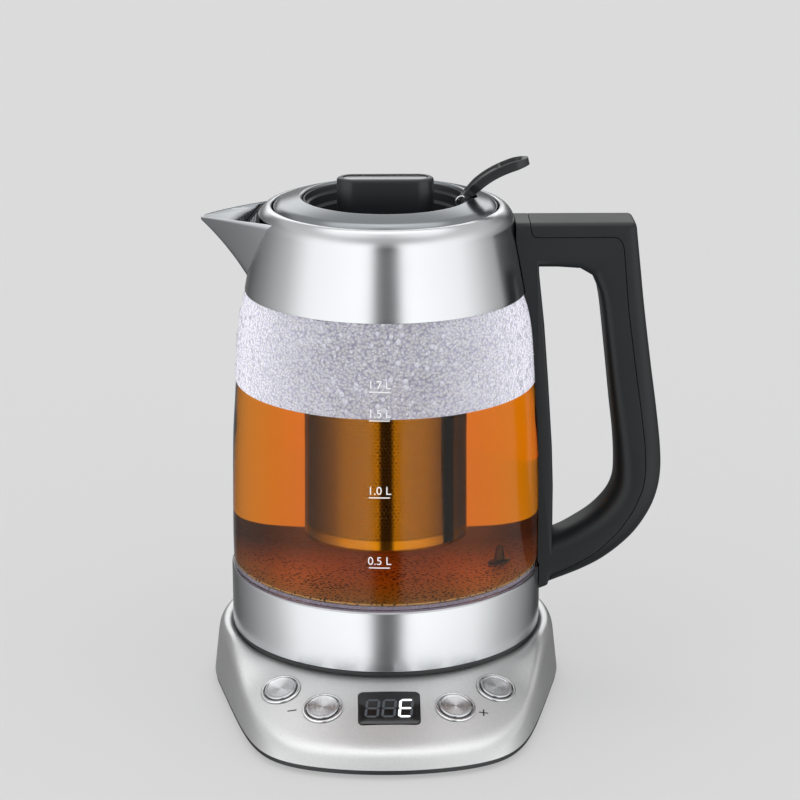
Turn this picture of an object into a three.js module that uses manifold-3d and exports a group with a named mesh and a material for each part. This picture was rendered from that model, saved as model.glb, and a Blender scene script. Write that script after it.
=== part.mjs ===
// Automatic tea maker: a cordless glass jug with a hanging tea strainer, on a base with a sloped control panel.
// Millimetres, +Z up. The spout points to -X, the handle to +X and the control panel to -Y.
// The jug's pieces are drawn from the jug's own underside, and its group lifts them onto the base plate.

import * as THREE from "three";
import { mergeVertices } from "three/addons/utils/BufferGeometryUtils.js";
import Module from "manifold-3d";

const wasm = await Module();
wasm.setup();

// Shared clearances and facet counts
const gap = 0.3;
const overrun = 2;
const bigFacets = 24;
const midFacets = 20;
const smallFacets = 16;
const tinyFacets = 10;

// Jug
const jugRadius = 74;
const jugHeight = 206;
const bandHeight = 32;
const collarHeight = 40;
const sheetWall = 0.8;
const glassInset = 0.8;
const glassWall = 2.8;
const glassLap = 8;
const underLift = 5.5;

// Base housing
const plateHeight = 27.5;
const plateInset = 1.5;
const plateRadius = jugRadius - plateInset;
const baseMargin = 9.3;
const baseRadius = jugRadius + baseMargin;
const panelReach = 48.8;
const baseFront = jugRadius + panelReach;
const baseWall = 2.2;
const footHeight = 1.6;
const footRadius = 6;
const trimHeight = 1.2;
const skirtTaper = 2.2;
const rimRise = 2.6;
const panelSlope = THREE.MathUtils.degToRad(21);
const panelRoll = 2.1;
const coneRise = 3.9;
const coneTopRadius = 37.6;
const coneFootRadius = 45.1;
const skirtFoot = footHeight + trimHeight + 2 * gap;

// Round connector between base and jug
const towerRadius = 17.8;
const towerHeight = 12.6;
const discRadius = 29.2;
const socketWall = 5.4;

// Lid and strainer
const lidRadius = 52;
const lidBore = 39.5;
const lidRise = 4;
const lidGap = 0.8;
const shoulderWidth = 13;
const strainerBore = 33.7;
const basketRadius = 28.5;
const basketLift = 13;

// Spout, handle and lever
const spoutReach = 19.5;
const spoutHalfWidth = 29.5;
const handleReach = 57.2;
const handleFoot = 19.3;
const handleDrop = 7;
const handleStand = 8.2;
const handleWidth = 27;
const leverLength = 32;
const leverWidth = 11;
const leverThickness = 4.6;

// Controls
const buttonRadius = 7.8;
const buttonTravel = 1.2;
const displayWidth = 27.8;
const displayLength = 20.7;
const boardDepth = 8.2;
const boardThickness = 1.6;

// Joining, cutting and skinning

function solid(geometry) {
  geometry.deleteAttribute("normal");
  geometry.deleteAttribute("uv");
  const merged = mergeVertices(geometry);
  const index = merged.index.array;
  const triangles = [];
  for (let i = 0; i < index.length; i += 3) {
    const [a, b, c] = [index[i], index[i + 1], index[i + 2]];
    if (a !== b && b !== c && c !== a) triangles.push(a, b, c);
  }
  return new wasm.Manifold(new wasm.Mesh({
    numProp: 3,
    vertProperties: merged.attributes.position.array,
    triVerts: new Uint32Array(triangles),
  }));
}

function geometryOf(body) {
  const mesh = body.getMesh();
  const geometry = new THREE.BufferGeometry();
  geometry.setAttribute("position", new THREE.BufferAttribute(mesh.vertProperties, mesh.numProp));
  geometry.setIndex(new THREE.BufferAttribute(mesh.triVerts, 1));
  geometry.computeVertexNormals();
  return geometry;
}

function part(name, body, colour, roughness, metalness, opacity = 1) {
  const material = new THREE.MeshStandardMaterial({ color: colour, roughness, metalness });
  material.opacity = opacity;
  material.transparent = opacity < 1;
  const mesh = new THREE.Mesh(geometryOf(body), material);
  mesh.name = name;
  return mesh;
}

// A profile of [radius, height] points, counter-clockwise, turned round +Z; it closes itself off the axis
function revolve(profile, facets) {
  const points = profile.map(([radius, height]) => new THREE.Vector2(radius, height));
  if (profile[0][0] > 0) points.push(points[0].clone());
  return solid(new THREE.LatheGeometry(points, facets).rotateX(Math.PI / 2));
}

function tube(inner, outer, low, high, facets) {
  return revolve([[inner, low], [outer, low], [outer, high], [inner, high]], facets);
}

function disc(radius, low, high, facets) {
  return revolve([[0, low], [radius, low], [radius, high], [0, high]], facets);
}

// How near the axis the flats of a turned piece come
function flatRadius(radius, facets) {
  return radius * Math.cos(Math.PI / facets);
}

function block(width, depth, height, x, y, z) {
  return solid(new THREE.BoxGeometry(width, depth, height).translate(x, y, z));
}

function turned(body, matrix) {
  return solid(geometryOf(body).applyMatrix4(matrix));
}

// A path shifted to the left of its travel, mitred at each corner
function shifted(path, distance) {
  const normals = [];
  for (let i = 0; i + 1 < path.length; i += 1) {
    const along = new THREE.Vector2(path[i + 1][0] - path[i][0], path[i + 1][1] - path[i][1]).normalize();
    normals.push(new THREE.Vector2(-along.y, along.x));
  }
  return path.map(([x, y], i) => {
    const before = normals[Math.max(i - 1, 0)];
    const after = normals[Math.min(i, normals.length - 1)];
    const middle = before.clone().add(after).normalize();
    const reach = distance / middle.dot(after);
    return [x + middle.x * reach, y + middle.y * reach];
  });
}

// The same path with a wall on the left of its travel, as one counter-clockwise profile
function walled(path, wall) {
  return [...path, ...shifted(path, wall).reverse()];
}

// The radius of a path of [radius, height] points at a height
function radiusAt(path, height) {
  for (let i = 0; i + 1 < path.length; i += 1) {
    const [r0, z0] = path[i];
    const [r1, z1] = path[i + 1];
    if (height >= z0 && height <= z1) return r0 + ((r1 - r0) * (height - z0)) / (z1 - z0);
  }
  return height < path[0][1] ? path[0][0] : path[path.length - 1][0];
}

// Faces between neighbouring rows of points; wrap joins the last row or column to the first
function gridFaces(rows, columns, wrapRows, wrapColumns) {
  const faces = [];
  for (let i = 0; i < (wrapRows ? rows : rows - 1); i += 1) {
    for (let j = 0; j < (wrapColumns ? columns : columns - 1); j += 1) {
      const a = i * columns + j;
      const b = ((i + 1) % rows) * columns + j;
      const c = ((i + 1) % rows) * columns + ((j + 1) % columns);
      const d = i * columns + ((j + 1) % columns);
      faces.push(a, b, d, b, c, d);
    }
  }
  return faces;
}

function skin(points, faces) {
  const geometry = new THREE.BufferGeometry();
  const places = new Float32Array(points.flatMap((point) => [point.x, point.y, point.z]));
  geometry.setAttribute("position", new THREE.BufferAttribute(places, 3));
  geometry.setIndex(faces);
  return solid(geometry);
}

// Sections round the vertical axis: each is a closed profile, or one whose ends lie on the axis
function loftRound(sections, closed) {
  return skin(sections.flat(), gridFaces(sections.length, sections[0].length, true, closed));
}

// Closed rings along a path, with a flat cap on each end
function loftAlong(rings) {
  const count = rings[0].length;
  const faces = [];
  for (const [a, b, c] of triples(gridFaces(rings.length, count, false, true))) faces.push(a, c, b);
  const points = rings.flat();
  for (const [start, turn] of [[0, 1], [(rings.length - 1) * count, -1]]) {
    const centre = new THREE.Vector3();
    for (let j = 0; j < count; j += 1) centre.addScaledVector(points[start + j], 1 / count);
    points.push(centre);
    for (let j = 0; j < count; j += 1) {
      const here = start + j;
      const next = start + ((j + 1) % count);
      faces.push(points.length - 1, turn > 0 ? next : here, turn > 0 ? here : next);
    }
  }
  return skin(points, faces);
}

function triples(list) {
  const groups = [];
  for (let i = 0; i < list.length; i += 3) groups.push(list.slice(i, i + 3));
  return groups;
}

// A rounded rectangle or, with the radius at half its width, a round-ended bar
function roundedOutline(width, depth, radius) {
  const [x, y] = [width / 2 - radius, depth / 2 - radius];
  const shape = new THREE.Shape();
  shape.absarc(x, y, radius, 0, Math.PI / 2);
  shape.absarc(-x, y, radius, Math.PI / 2, Math.PI);
  shape.absarc(-x, -y, radius, Math.PI, 1.5 * Math.PI);
  shape.absarc(x, -y, radius, 1.5 * Math.PI, 2 * Math.PI);
  return shape;
}

function upright(shape, low, high, curveSegments) {
  const options = { depth: high - low, bevelEnabled: false, curveSegments };
  return solid(new THREE.ExtrudeGeometry(shape, options).translate(0, 0, low));
}

// An outline in the XZ plane, carried to both sides of the XZ plane
function sideways(shape, width, bevel = 0) {
  const options = {
    depth: width - 2 * bevel,
    bevelEnabled: bevel > 0,
    bevelSize: bevel,
    bevelThickness: bevel,
    bevelOffset: -bevel,
    bevelSegments: 1,
    curveSegments: tinyFacets / 2,
  };
  return solid(new THREE.ExtrudeGeometry(shape, options).translate(0, 0, bevel - width / 2).rotateX(Math.PI / 2));
}

// Base outline: a round back, straight converging sides and a front arc, blended at the corners.
// Angles are measured from -Y, positive towards +X.

const sideAngle = THREE.MathUtils.degToRad(77.3);
const cornerSharpness = 12;
const coarseStepDegrees = 12;
const fineStepDegrees = 6;
const cornerDegrees = [12, 48];

function baseOutline(angle) {
  const off = Math.abs(angle);
  const side = baseRadius / Math.cos(Math.max(0, sideAngle - off));
  const sum = side ** -cornerSharpness + baseFront ** -cornerSharpness;
  return sum ** (-1 / cornerSharpness);
}

function baseAngles() {
  const angles = [];
  for (let degrees = -180; degrees < 180;) {
    angles.push(THREE.MathUtils.degToRad(degrees));
    const ahead = Math.abs(degrees + fineStepDegrees / 2);
    const fine = ahead > cornerDegrees[0] && ahead < cornerDegrees[1];
    degrees += fine ? fineStepDegrees : coarseStepDegrees;
  }
  return angles;
}

function around(angle, radius, height) {
  return new THREE.Vector3(radius * Math.sin(angle), -radius * Math.cos(angle), height);
}

// How far a direction belongs to the sloped front: 1 on the panel, 0 at the sides and back
const panelEdges = [42, 72].map(THREE.MathUtils.degToRad);

function frontShare(angle) {
  return 1 - THREE.MathUtils.smoothstep(Math.abs(angle), panelEdges[0], panelEdges[1]);
}

// From the plate's edge outwards: radial and rise shares at the sides, radial and roll shares in front
const edgeShares = [
  [0, 0, 0, 0],
  [0.16, 0.5, 0.04, 0],
  [0.4, 1, 0.4, 0],
  [0.64, 0.9, 0.7, 0],
  [0.82, 0.4, 0.87, 0],
  [0.94, -0.4, 0.95, 0.3],
  [1, -1.4, 1, 1],
];

function coverPath(angle) {
  const foot = baseOutline(angle);
  const edge = foot - skirtTaper;
  const front = frontShare(angle);
  const coneTop = plateHeight + coneRise;
  const path = [[discRadius + gap, coneTop], [coneTopRadius, coneTop], [coneFootRadius, plateHeight]];
  for (const [sideShare, riseShare, frontOut, rollShare] of edgeShares) {
    const share = THREE.MathUtils.lerp(sideShare, frontOut, front);
    const radius = plateRadius + share * (edge - plateRadius);
    const drop = (radius - plateRadius) * Math.tan(panelSlope) + rollShare * panelRoll;
    path.push([radius, plateHeight + THREE.MathUtils.lerp(riseShare * rimRise, -drop, front)]);
  }
  path.push([foot, skirtFoot]);
  return path;
}

// Places on the cone of the control panel: +Z of the place points out of the panel

const outerButtons = { out: 15.1, turn: THREE.MathUtils.degToRad(34.4) };
const innerButtons = { out: 21, turn: THREE.MathUtils.degToRad(18.8) };
const buttonPlaces = [
  { name: "program", radius: plateRadius + outerButtons.out, angle: -outerButtons.turn },
  { name: "minus", radius: plateRadius + innerButtons.out, angle: -innerButtons.turn },
  { name: "plus", radius: plateRadius + innerButtons.out, angle: innerButtons.turn },
  { name: "power", radius: plateRadius + outerButtons.out, angle: outerButtons.turn },
];
const displayOut = 18.4;
const displayPlaceRadius = plateRadius + displayOut;
const boardAngle = (outerButtons.turn + innerButtons.turn) / 2;
const boardPlaceRadius = plateRadius + (outerButtons.out + innerButtons.out) / 2;

function panelPlace(radius, angle) {
  const across = new THREE.Vector3(Math.cos(angle), Math.sin(angle), 0);
  const out = around(angle, Math.sin(panelSlope), Math.cos(panelSlope));
  const up = out.clone().cross(across);
  const height = plateHeight - (radius - plateRadius) * Math.tan(panelSlope);
  return new THREE.Matrix4().makeBasis(across, up, out).setPosition(around(angle, radius, height));
}

function placed(mesh, place) {
  mesh.applyMatrix4(place);
  return mesh;
}

// Base pieces

const bezelWidth = 1.4;
const bezelRise = 0.5;
const bezelLip = 0.7;
const displayCorner = 2.4;
const drainSlot = { width: 13.4, depth: 5.1, sink: 0.9, inset: 6.8 };
const post = { radius: 1.8, spread: 6 };
const inlet = { radius: 5, lip: 1.2, bore: 3, height: 10.5, stand: 0.8 };

function baseCover() {
  const sections = baseAngles().map((angle) => {
    const path = coverPath(angle);
    // the hidden inner skin takes every other row of the edge
    const inner = shifted(path, -baseWall).filter((point, i) => i <= 3 || i % 2 === 1 || i === path.length - 1);
    inner[inner.length - 1] = [baseOutline(angle) - baseWall, skirtFoot];
    inner[0] = [path[0][0], path[0][1] - baseWall];
    return [...path.reverse(), ...inner].map(([radius, height]) => around(angle, radius, height));
  });
  let cover = loftRound(sections, true);
  const reach = baseWall + overrun;
  const hole = disc(buttonRadius + gap + bezelWidth - bezelLip + gap, -reach, reach, smallFacets);
  for (const button of buttonPlaces) {
    cover = cover.subtract(turned(hole, panelPlace(button.radius, button.angle)));
  }
  for (const side of [-1, 1]) {
    for (const end of [-1, 1]) {
      const stub = disc(post.radius, -boardDepth + gap, -baseWall / 2, tinyFacets).translate([0, end * post.spread, 0]);
      cover = cover.add(turned(stub, panelPlace(boardPlaceRadius, side * boardAngle)));
    }
  }
  const windowOutline = roundedOutline(displayWidth + 2 * gap, displayLength + 2 * gap, displayCorner);
  const windowCut = upright(windowOutline, -reach, reach, 3);
  cover = cover.subtract(turned(windowCut, panelPlace(displayPlaceRadius, 0)));
  const slotOutline = roundedOutline(drainSlot.width, drainSlot.depth, drainSlot.depth / 2);
  const slotCut = upright(slotOutline, plateHeight - drainSlot.sink, plateHeight + overrun, 4);
  cover = cover.subtract(slotCut.translate([0, plateRadius - drainSlot.inset, 0]));
  const cordHole = disc(inlet.radius + gap, -baseWall - overrun, baseWall + overrun, tinyFacets);
  return part("base_cover", cover.subtract(turned(cordHole, inletPlace())), 0xc9ccce, 0.32, 0.9);
}

function inletPlace() {
  const turn = new THREE.Matrix4().makeRotationX(-Math.PI / 2);
  return turn.setPosition(0, baseRadius - skirtTaper / 2, inlet.height);
}

function cordInlet() {
  const body = revolve([
    [inlet.bore, -baseWall - inlet.stand],
    [inlet.radius, -baseWall - inlet.stand],
    [inlet.radius, skirtTaper / 2 - gap],
    [inlet.radius - inlet.lip, skirtTaper / 2],
    [inlet.bore, skirtTaper / 2],
  ], tinyFacets);
  return placed(part("cord_inlet", body, 0x1d1f21, 0.6, 0), inletPlace());
}

const pan = { edgeInset: 0.8, floorThickness: 1.8, bossWall: 2, bossHeight: 4 };

function baseFloor() {
  const low = footHeight + gap;
  const rim = low + trimHeight;
  const top = low + pan.floorThickness;
  const sections = baseAngles().map((angle) => {
    const edge = baseOutline(angle) - pan.edgeInset;
    const spigotEdge = baseOutline(angle) - baseWall - 2 * gap;
    return [
      [0, low],
      [edge - pan.edgeInset, low],
      [edge, low + pan.edgeInset],
      [edge, rim],
      [spigotEdge, rim],
      [spigotEdge, top],
      [0, top],
    ].map(([radius, height]) => around(angle, radius, height));
  });
  const bore = tower.shaftRadius + gap;
  const boss = tube(bore, bore + pan.bossWall, low + gap, top + pan.bossHeight, midFacets);
  return part("base_floor", loftRound(sections, false).add(boss), 0x1b1d1f, 0.5, 0);
}

const backFeet = { sideInset: 33.3, backInset: 37.3 };
const frontFeet = { sideInset: 36.3, frontInset: 38.8 };
const footPlaces = [
  { name: "back_left", x: backFeet.sideInset - baseRadius, y: baseRadius - backFeet.backInset },
  { name: "back_right", x: baseRadius - backFeet.sideInset, y: baseRadius - backFeet.backInset },
  { name: "front_left", x: frontFeet.sideInset - baseRadius, y: frontFeet.frontInset - baseFront },
  { name: "front_right", x: baseRadius - frontFeet.sideInset, y: frontFeet.frontInset - baseFront },
];

function baseFeet() {
  const chamfer = footHeight / 2;
  const profile = [[0, 0], [footRadius - chamfer, 0], [footRadius, chamfer], [footRadius, footHeight], [0, footHeight]];
  return footPlaces.map((place) => {
    const foot = part(`foot_${place.name}`, revolve(profile, tinyFacets), 0x26282a, 0.9, 0);
    foot.position.set(place.x, place.y, 0);
    return foot;
  });
}

// Round connector: a flat ring, the tower that stands in it and the live rings on the tower's black top

const tower = {
  flangeRadius: 20.5, flangeDepth: 3, bulgeRadius: 17.6, waistRadius: 16.2, shaftRadius: 15,
  topRadius: 15.2, topSink: 0.9, bulgeShare: 0.24, waistLowShare: 0.36, waistHighShare: 0.7, lipShare: 0.78,
  chamfer: 0.6, keyWidth: 2.4, keyDepth: 1.4,
};
const discLedge = 2.3;
const ringRadii = [8.3, 11.9];
const ringWidth = 0.9;
const ringSink = 0.8;
const pinRadius = 2.6;

function towerTop() {
  return plateHeight + coneRise + towerHeight;
}

function connectorDisc() {
  const top = plateHeight + coneRise;
  const ledgeTop = top - baseWall - gap;
  const inner = tower.flangeRadius + gap;
  const body = revolve([
    [inner, ledgeTop - ringSink],
    [discRadius + discLedge, ledgeTop - ringSink],
    [discRadius + discLedge, ledgeTop],
    [discRadius, ledgeTop],
    [discRadius, top],
    [inner, top],
  ], midFacets);
  return part("connector_disc", body, 0x8d9092, 0.4, 0.3);
}

function connectorTower() {
  const seat = plateHeight + coneRise;
  const foot = footHeight + 2 * gap + pan.floorThickness;
  const top = towerTop();
  const body = revolve([
    [0, foot],
    [tower.shaftRadius, foot],
    [tower.shaftRadius, seat - tower.flangeDepth],
    [tower.flangeRadius, seat - tower.flangeDepth],
    [tower.flangeRadius, seat],
    [tower.bulgeRadius + tower.chamfer, seat],
    [tower.bulgeRadius + tower.chamfer, seat + towerHeight * tower.bulgeShare],
    [tower.waistRadius, seat + towerHeight * tower.waistLowShare],
    [tower.waistRadius, seat + towerHeight * tower.waistHighShare],
    [towerRadius, seat + towerHeight * tower.lipShare],
    [towerRadius, top - tower.chamfer],
    [towerRadius - tower.chamfer, top],
    [tower.topRadius + gap, top],
    [tower.topRadius + gap, top - tower.topSink - gap],
    [0, top - tower.topSink - gap],
  ], midFacets);
  const keyHeight = towerHeight * (tower.waistHighShare - tower.bulgeShare / 2);
  const key = block(2 * tower.keyDepth, tower.keyWidth, keyHeight, -tower.waistRadius, 0, seat + towerHeight / 2);
  return part("connector_tower", body.subtract(key), 0x3a3e42, 0.45, 0.1);
}

function contactPieces() {
  const top = towerTop();
  const low = top - tower.topSink;
  let blockBody = disc(tower.topRadius, low, top - gap / 2, smallFacets);
  const rings = ringRadii.map((radius) => tube(radius - ringWidth / 2, radius + ringWidth / 2, low + gap, top, smallFacets));
  for (const radius of ringRadii) {
    const half = ringWidth / 2 + gap / 2;
    blockBody = blockBody.subtract(tube(radius - half, radius + half, low + gap / 2, top, smallFacets));
  }
  blockBody = blockBody.subtract(disc(pinRadius + gap / 2, low + gap / 2, top, tinyFacets));
  return [
    part("contact_block", blockBody, 0x0c0c0d, 0.35, 0),
    part("contact_ring_inner", rings[0], 0xd8dadb, 0.25, 1),
    part("contact_ring_outer", rings[1], 0xd8dadb, 0.25, 1),
    part("contact_pin", disc(pinRadius, low + gap, top, tinyFacets), 0xd8dadb, 0.25, 1),
  ];
}

// Controls: spun caps in bright bezels, each over its own switch, and the display between them

const cap = { rise: 1.5, dish: 0.5, flange: 1.2, flangeDepth: 0.9, stemRadius: 2.2 };
const switchSize = { width: 5, height: 1.5, plungerRadius: 1.5, plungerHeight: 0.3 };

function bezel(name) {
  const inner = buttonRadius + gap;
  const outer = inner + bezelWidth;
  const body = revolve([
    [inner, -baseWall],
    [outer - bezelLip, -baseWall],
    [outer - bezelLip, gap],
    [outer, gap],
    [outer - bezelRise / 2, gap + bezelRise],
    [inner, gap + bezelRise],
  ], smallFacets);
  return part(`button_bezel_${name}`, body, 0xd9dbdc, 0.18, 1);
}

function buttonCap(name) {
  const under = -baseWall - gap;
  const flange = buttonRadius + cap.flange;
  const stemEnd = -boardDepth + gap + switchSize.height + switchSize.plungerHeight + buttonTravel + 2 * gap;
  const body = revolve([
    [0, stemEnd],
    [cap.stemRadius, stemEnd],
    [cap.stemRadius, under - cap.flangeDepth],
    [flange, under - cap.flangeDepth],
    [flange, under],
    [buttonRadius, under],
    [buttonRadius, cap.rise],
    [0, cap.rise - cap.dish],
  ], smallFacets);
  return part(`button_${name}`, body, 0xcfd1d3, 0.28, 1);
}

function switchBody(name) {
  const foot = -boardDepth + gap;
  const half = foot + switchSize.height / 2;
  const box = block(switchSize.width, switchSize.width, switchSize.height, 0, 0, half);
  const top = foot + switchSize.height + switchSize.plungerHeight;
  const body = box.add(disc(switchSize.plungerRadius, half, top, tinyFacets));
  return part(`switch_${name}`, body, 0x2b2d30, 0.5, 0.1);
}

const boards = { buttonWidth: 34, buttonDepth: 19, displayWidth: 32, displayDepth: 22, corner: 1.5 };
const displayParts = { stand: 0.15, thickness: 1.6, moduleInset: 1.5 };

function circuitBoard(name, width, depth) {
  const outline = roundedOutline(width, depth, boards.corner);
  return part(name, upright(outline, -boardDepth - boardThickness, -boardDepth, 2), 0x2c6b3f, 0.6, 0);
}

function controls() {
  const pieces = [];
  for (const button of buttonPlaces) {
    const place = panelPlace(button.radius, button.angle);
    for (const make of [bezel, buttonCap]) pieces.push(placed(make(button.name), place));
  }
  for (const side of [-1, 1]) {
    const place = panelPlace(boardPlaceRadius, side * boardAngle);
    const name = `button_board_${side < 0 ? "left" : "right"}`;
    pieces.push(placed(circuitBoard(name, boards.buttonWidth, boards.buttonDepth), place));
    for (const button of buttonPlaces.filter((each) => Math.sign(each.angle) === side)) {
      const seat = new THREE.Vector3().setFromMatrixPosition(panelPlace(button.radius, button.angle));
      seat.applyMatrix4(place.clone().invert());
      const onBoard = place.clone().multiply(new THREE.Matrix4().makeTranslation(seat.x, seat.y, 0));
      pieces.push(placed(switchBody(button.name), onBoard));
    }
  }
  const place = panelPlace(displayPlaceRadius, 0);
  const glass = roundedOutline(displayWidth, displayLength, displayCorner);
  const { stand, thickness, moduleInset } = displayParts;
  const window = upright(glass, stand - thickness, stand, 3);
  pieces.push(placed(part("display_window", window, 0x08090a, 0.12, 0), place));
  const moduleTop = stand - thickness - gap;
  const moduleLow = -boardDepth + gap;
  const module = block(
    displayWidth - 2 * moduleInset, displayLength - 2 * moduleInset, moduleTop - moduleLow,
    0, 0, (moduleTop + moduleLow) / 2,
  );
  pieces.push(placed(part("display_module", module, 0x1a1b1d, 0.5, 0), place));
  pieces.push(placed(circuitBoard("display_board", boards.displayWidth, boards.displayDepth), place));
  return pieces;
}

const powerBoard = { width: 80, depth: 26, back: 42, relayWidth: 16, relayHeight: 9 };

function powerBoardPiece() {
  const low = footHeight + 2 * gap + pan.floorThickness;
  const outline = roundedOutline(powerBoard.width, powerBoard.depth, boards.corner);
  const board = upright(outline, low, low + boardThickness, 2);
  const relay = block(
    powerBoard.relayWidth, powerBoard.relayWidth, powerBoard.relayHeight,
    powerBoard.width / 4, 0, low + powerBoard.relayHeight / 2,
  );
  const piece = part("power_board", board.add(relay), 0x2c6b3f, 0.6, 0);
  piece.position.y = powerBoard.back;
  return piece;
}

// Jug outline, drawn from the jug's underside

const glassOutlineShares = [
  // height between band and collar, radius between the collar's foot and the belly
  [0, 0.988], [0.15, 1], [0.45, 0.918], [0.62, 0.754], [0.84, 0.53], [0.94, 0.293], [1, 0],
];
const collarOutlineShares = [
  // radius between lid opening and lower edge, height
  [1, 0], [0.58, 0.7375], [0.535, 0.84], [0.41, 0.925], [0.21, 0.985], [0.04, 1],
];
const collarLip = 3.6;

const glassRadius = jugRadius - glassInset;
const collarFoot = jugHeight - collarHeight;
const collarFootRadius = lidRadius + lidGap + shoulderWidth;

function glassPath() {
  const path = glassOutlineShares.map(([share, radius]) => [
    THREE.MathUtils.lerp(collarFootRadius - sheetWall - gap, glassRadius, radius),
    bandHeight + gap + share * (collarFoot - bandHeight - gap),
  ]);
  const neck = radiusAt(collarPath(), collarFoot + glassLap) - sheetWall - gap;
  path.push([neck, collarFoot + glassLap]);
  return path;
}

function collarPath() {
  const opening = lidRadius + lidGap;
  const path = collarOutlineShares.map(([radius, height]) => [
    opening + radius * shoulderWidth,
    collarFoot + height * collarHeight,
  ]);
  path.push([opening, jugHeight - sheetWall / 2]);
  path.push([opening, jugHeight - collarLip]);
  return path;
}

function collarInner(height) {
  return radiusAt(collarPath(), height) - sheetWall;
}

function glassBody() {
  return part("glass_body", revolve(walled(glassPath(), glassWall), bigFacets), 0xe8eef0, 0.05, 0, 0.35);
}

// The spout: a V-shaped channel from its tip to the collar wall.
// Each section runs from rim to keel to rim, and stands out from the drawn skin by a distance.

const spoutDrops = { rim: 4.2, tip: 5.8, keelRoot: 38.5 };
const spout = {
  rimHeight: jugHeight - spoutDrops.rim, tipHeight: jugHeight - spoutDrops.tip,
  keelRoot: jugHeight - spoutDrops.keelRoot, keelRootIn: 3.8, keelBowOut: 6, keelBowRise: 18,
  rimRootIn: 17.8, rimBowOut: 6.2, rimBowWidth: 14.5, tipWidth: 1.6, tipDepth: 1.4, lift: 4,
};
const spoutSectionShares = [-1, -0.75, -0.5, -0.25, 0, 0.25, 0.5, 0.75, 1];
const spoutVee = 1.35;
const spoutSteps = 8;

function bow(start, middle, end, share) {
  const rest = 1 - share;
  return rest * rest * start + 2 * rest * share * middle + share * share * end;
}

function spoutVolume(distance, firstShare, raise) {
  const rings = [];
  const tipX = -collarFootRadius - spoutReach;
  for (let step = 0; step <= spoutSteps; step += 1) {
    const share = firstShare + ((1 - firstShare) * step) / spoutSteps;
    const keelX = bow(tipX, -collarFootRadius - spout.keelBowOut, -collarFootRadius + spout.keelRootIn, share);
    const keelZ = bow(spout.tipHeight - spout.tipDepth, spout.keelRoot + spout.keelBowRise, spout.keelRoot, share);
    const rimX = bow(tipX, -collarFootRadius - spout.rimBowOut, -collarFootRadius + spout.rimRootIn, share);
    const rimY = bow(spout.tipWidth, spout.rimBowWidth, spoutHalfWidth, share);
    const rimZ = bow(spout.tipHeight, spout.rimHeight, spout.rimHeight, share);
    const section = spoutSectionShares.map((side) => [
      rimY * side,
      keelZ + (rimZ - keelZ) * Math.abs(side) ** spoutVee,
    ]);
    const moved = distance === 0 ? section : shifted(section, -distance);
    moved[0][1] = rimZ;
    moved[moved.length - 1][1] = rimZ;
    const ring = moved.map(([y, z], i) => {
      const rise = Math.abs(spoutSectionShares[i]) ** spoutVee;
      return new THREE.Vector3(keelX + (rimX - keelX) * rise, y, z);
    });
    ring.push(new THREE.Vector3(rimX, moved[moved.length - 1][0], rimZ + raise));
    ring.push(new THREE.Vector3(rimX, moved[0][0], rimZ + raise));
    rings.push(ring);
  }
  return loftAlong(rings);
}

function collar() {
  const shell = revolve(walled(collarPath(), sheetWall), bigFacets);
  const body = shell.subtract(spoutVolume(gap, 0, gap));
  return part("collar", body, 0xc6c9cc, 0.28, 1);
}

const spoutInnerShare = 0.12;

function spoutPiece() {
  const lowest = collarFoot - collarHeight;
  const inside = collarPath().slice(0, -2).map(([radius, height]) => [radius - sheetWall, height]);
  const core = revolve([[0, lowest], [inside[0][0], lowest], ...inside, [0, jugHeight]], bigFacets);
  const shell = spoutVolume(0, 0, gap / 2).subtract(spoutVolume(-sheetWall, spoutInnerShare, spout.lift));
  return part("spout", shell.subtract(core), 0xc6c9cc, 0.28, 1);
}

// Filter frame behind the spout: a curved plate with a field of square holes

const filterDrops = { low: 27.5, high: 9.2 };
const filter = {
  low: jugHeight - filterDrops.low, high: jugHeight - filterDrops.high, thickness: 1.6,
  halfAngle: THREE.MathUtils.degToRad(25), border: 3,
};
const filterSteps = 8;
const filterRows = 3;
const filterHoleShare = 0.6;

function spoutFilter() {
  const rings = [];
  for (let step = 0; step <= filterSteps; step += 1) {
    const angle = Math.PI + filter.halfAngle * ((2 * step) / filterSteps - 1);
    const corner = (radius, height) => new THREE.Vector3(radius * Math.cos(angle), radius * Math.sin(angle), height);
    const lowOuter = collarInner(filter.low) - 3 * gap;
    const highOuter = collarInner(filter.high) - 3 * gap;
    rings.push([
      corner(lowOuter - filter.thickness, filter.low),
      corner(lowOuter, filter.low),
      corner(highOuter, filter.high),
      corner(highOuter - filter.thickness, filter.high),
    ].reverse());
  }
  let body = loftAlong(rings);
  const pitch = (filter.high - filter.low - 2 * filter.border) / filterRows;
  const size = pitch * filterHoleShare;
  const reach = collarInner(filter.low) / Math.cos(filter.halfAngle);
  for (let column = 1; column < filterSteps; column += 1) {
    const angle = filter.halfAngle * ((2 * (column + 0.5)) / (filterSteps + 1) - 1);
    for (let row = 0; row < filterRows; row += 1) {
      const height = filter.low + filter.border + pitch * (row + 0.5);
      const hole = new THREE.BoxGeometry(reach, size, size).translate(-reach / 2 - basketRadius, 0, height);
      body = body.subtract(solid(hole.rotateZ(angle)));
    }
  }
  return part("spout_filter", body, 0x2a2d30, 0.5, 0);
}

// Neck ring: the seat for the lid, inside the collar

const neck = { lap: 5, thickness: 3, drop: 5.5 };

function neckRing() {
  const top = jugHeight - neck.drop;
  const low = top - neck.thickness;
  const bore = lidRadius - neck.lap;
  const body = revolve([
    [bore, low],
    [collarInner(low) - gap, low],
    [collarInner(top) - gap, top],
    [bore, top],
  ], bigFacets);
  return part("neck_ring", body, 0x232628, 0.5, 0);
}

// Lower band, its plastic underside and the sealed floor of the vessel

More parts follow.
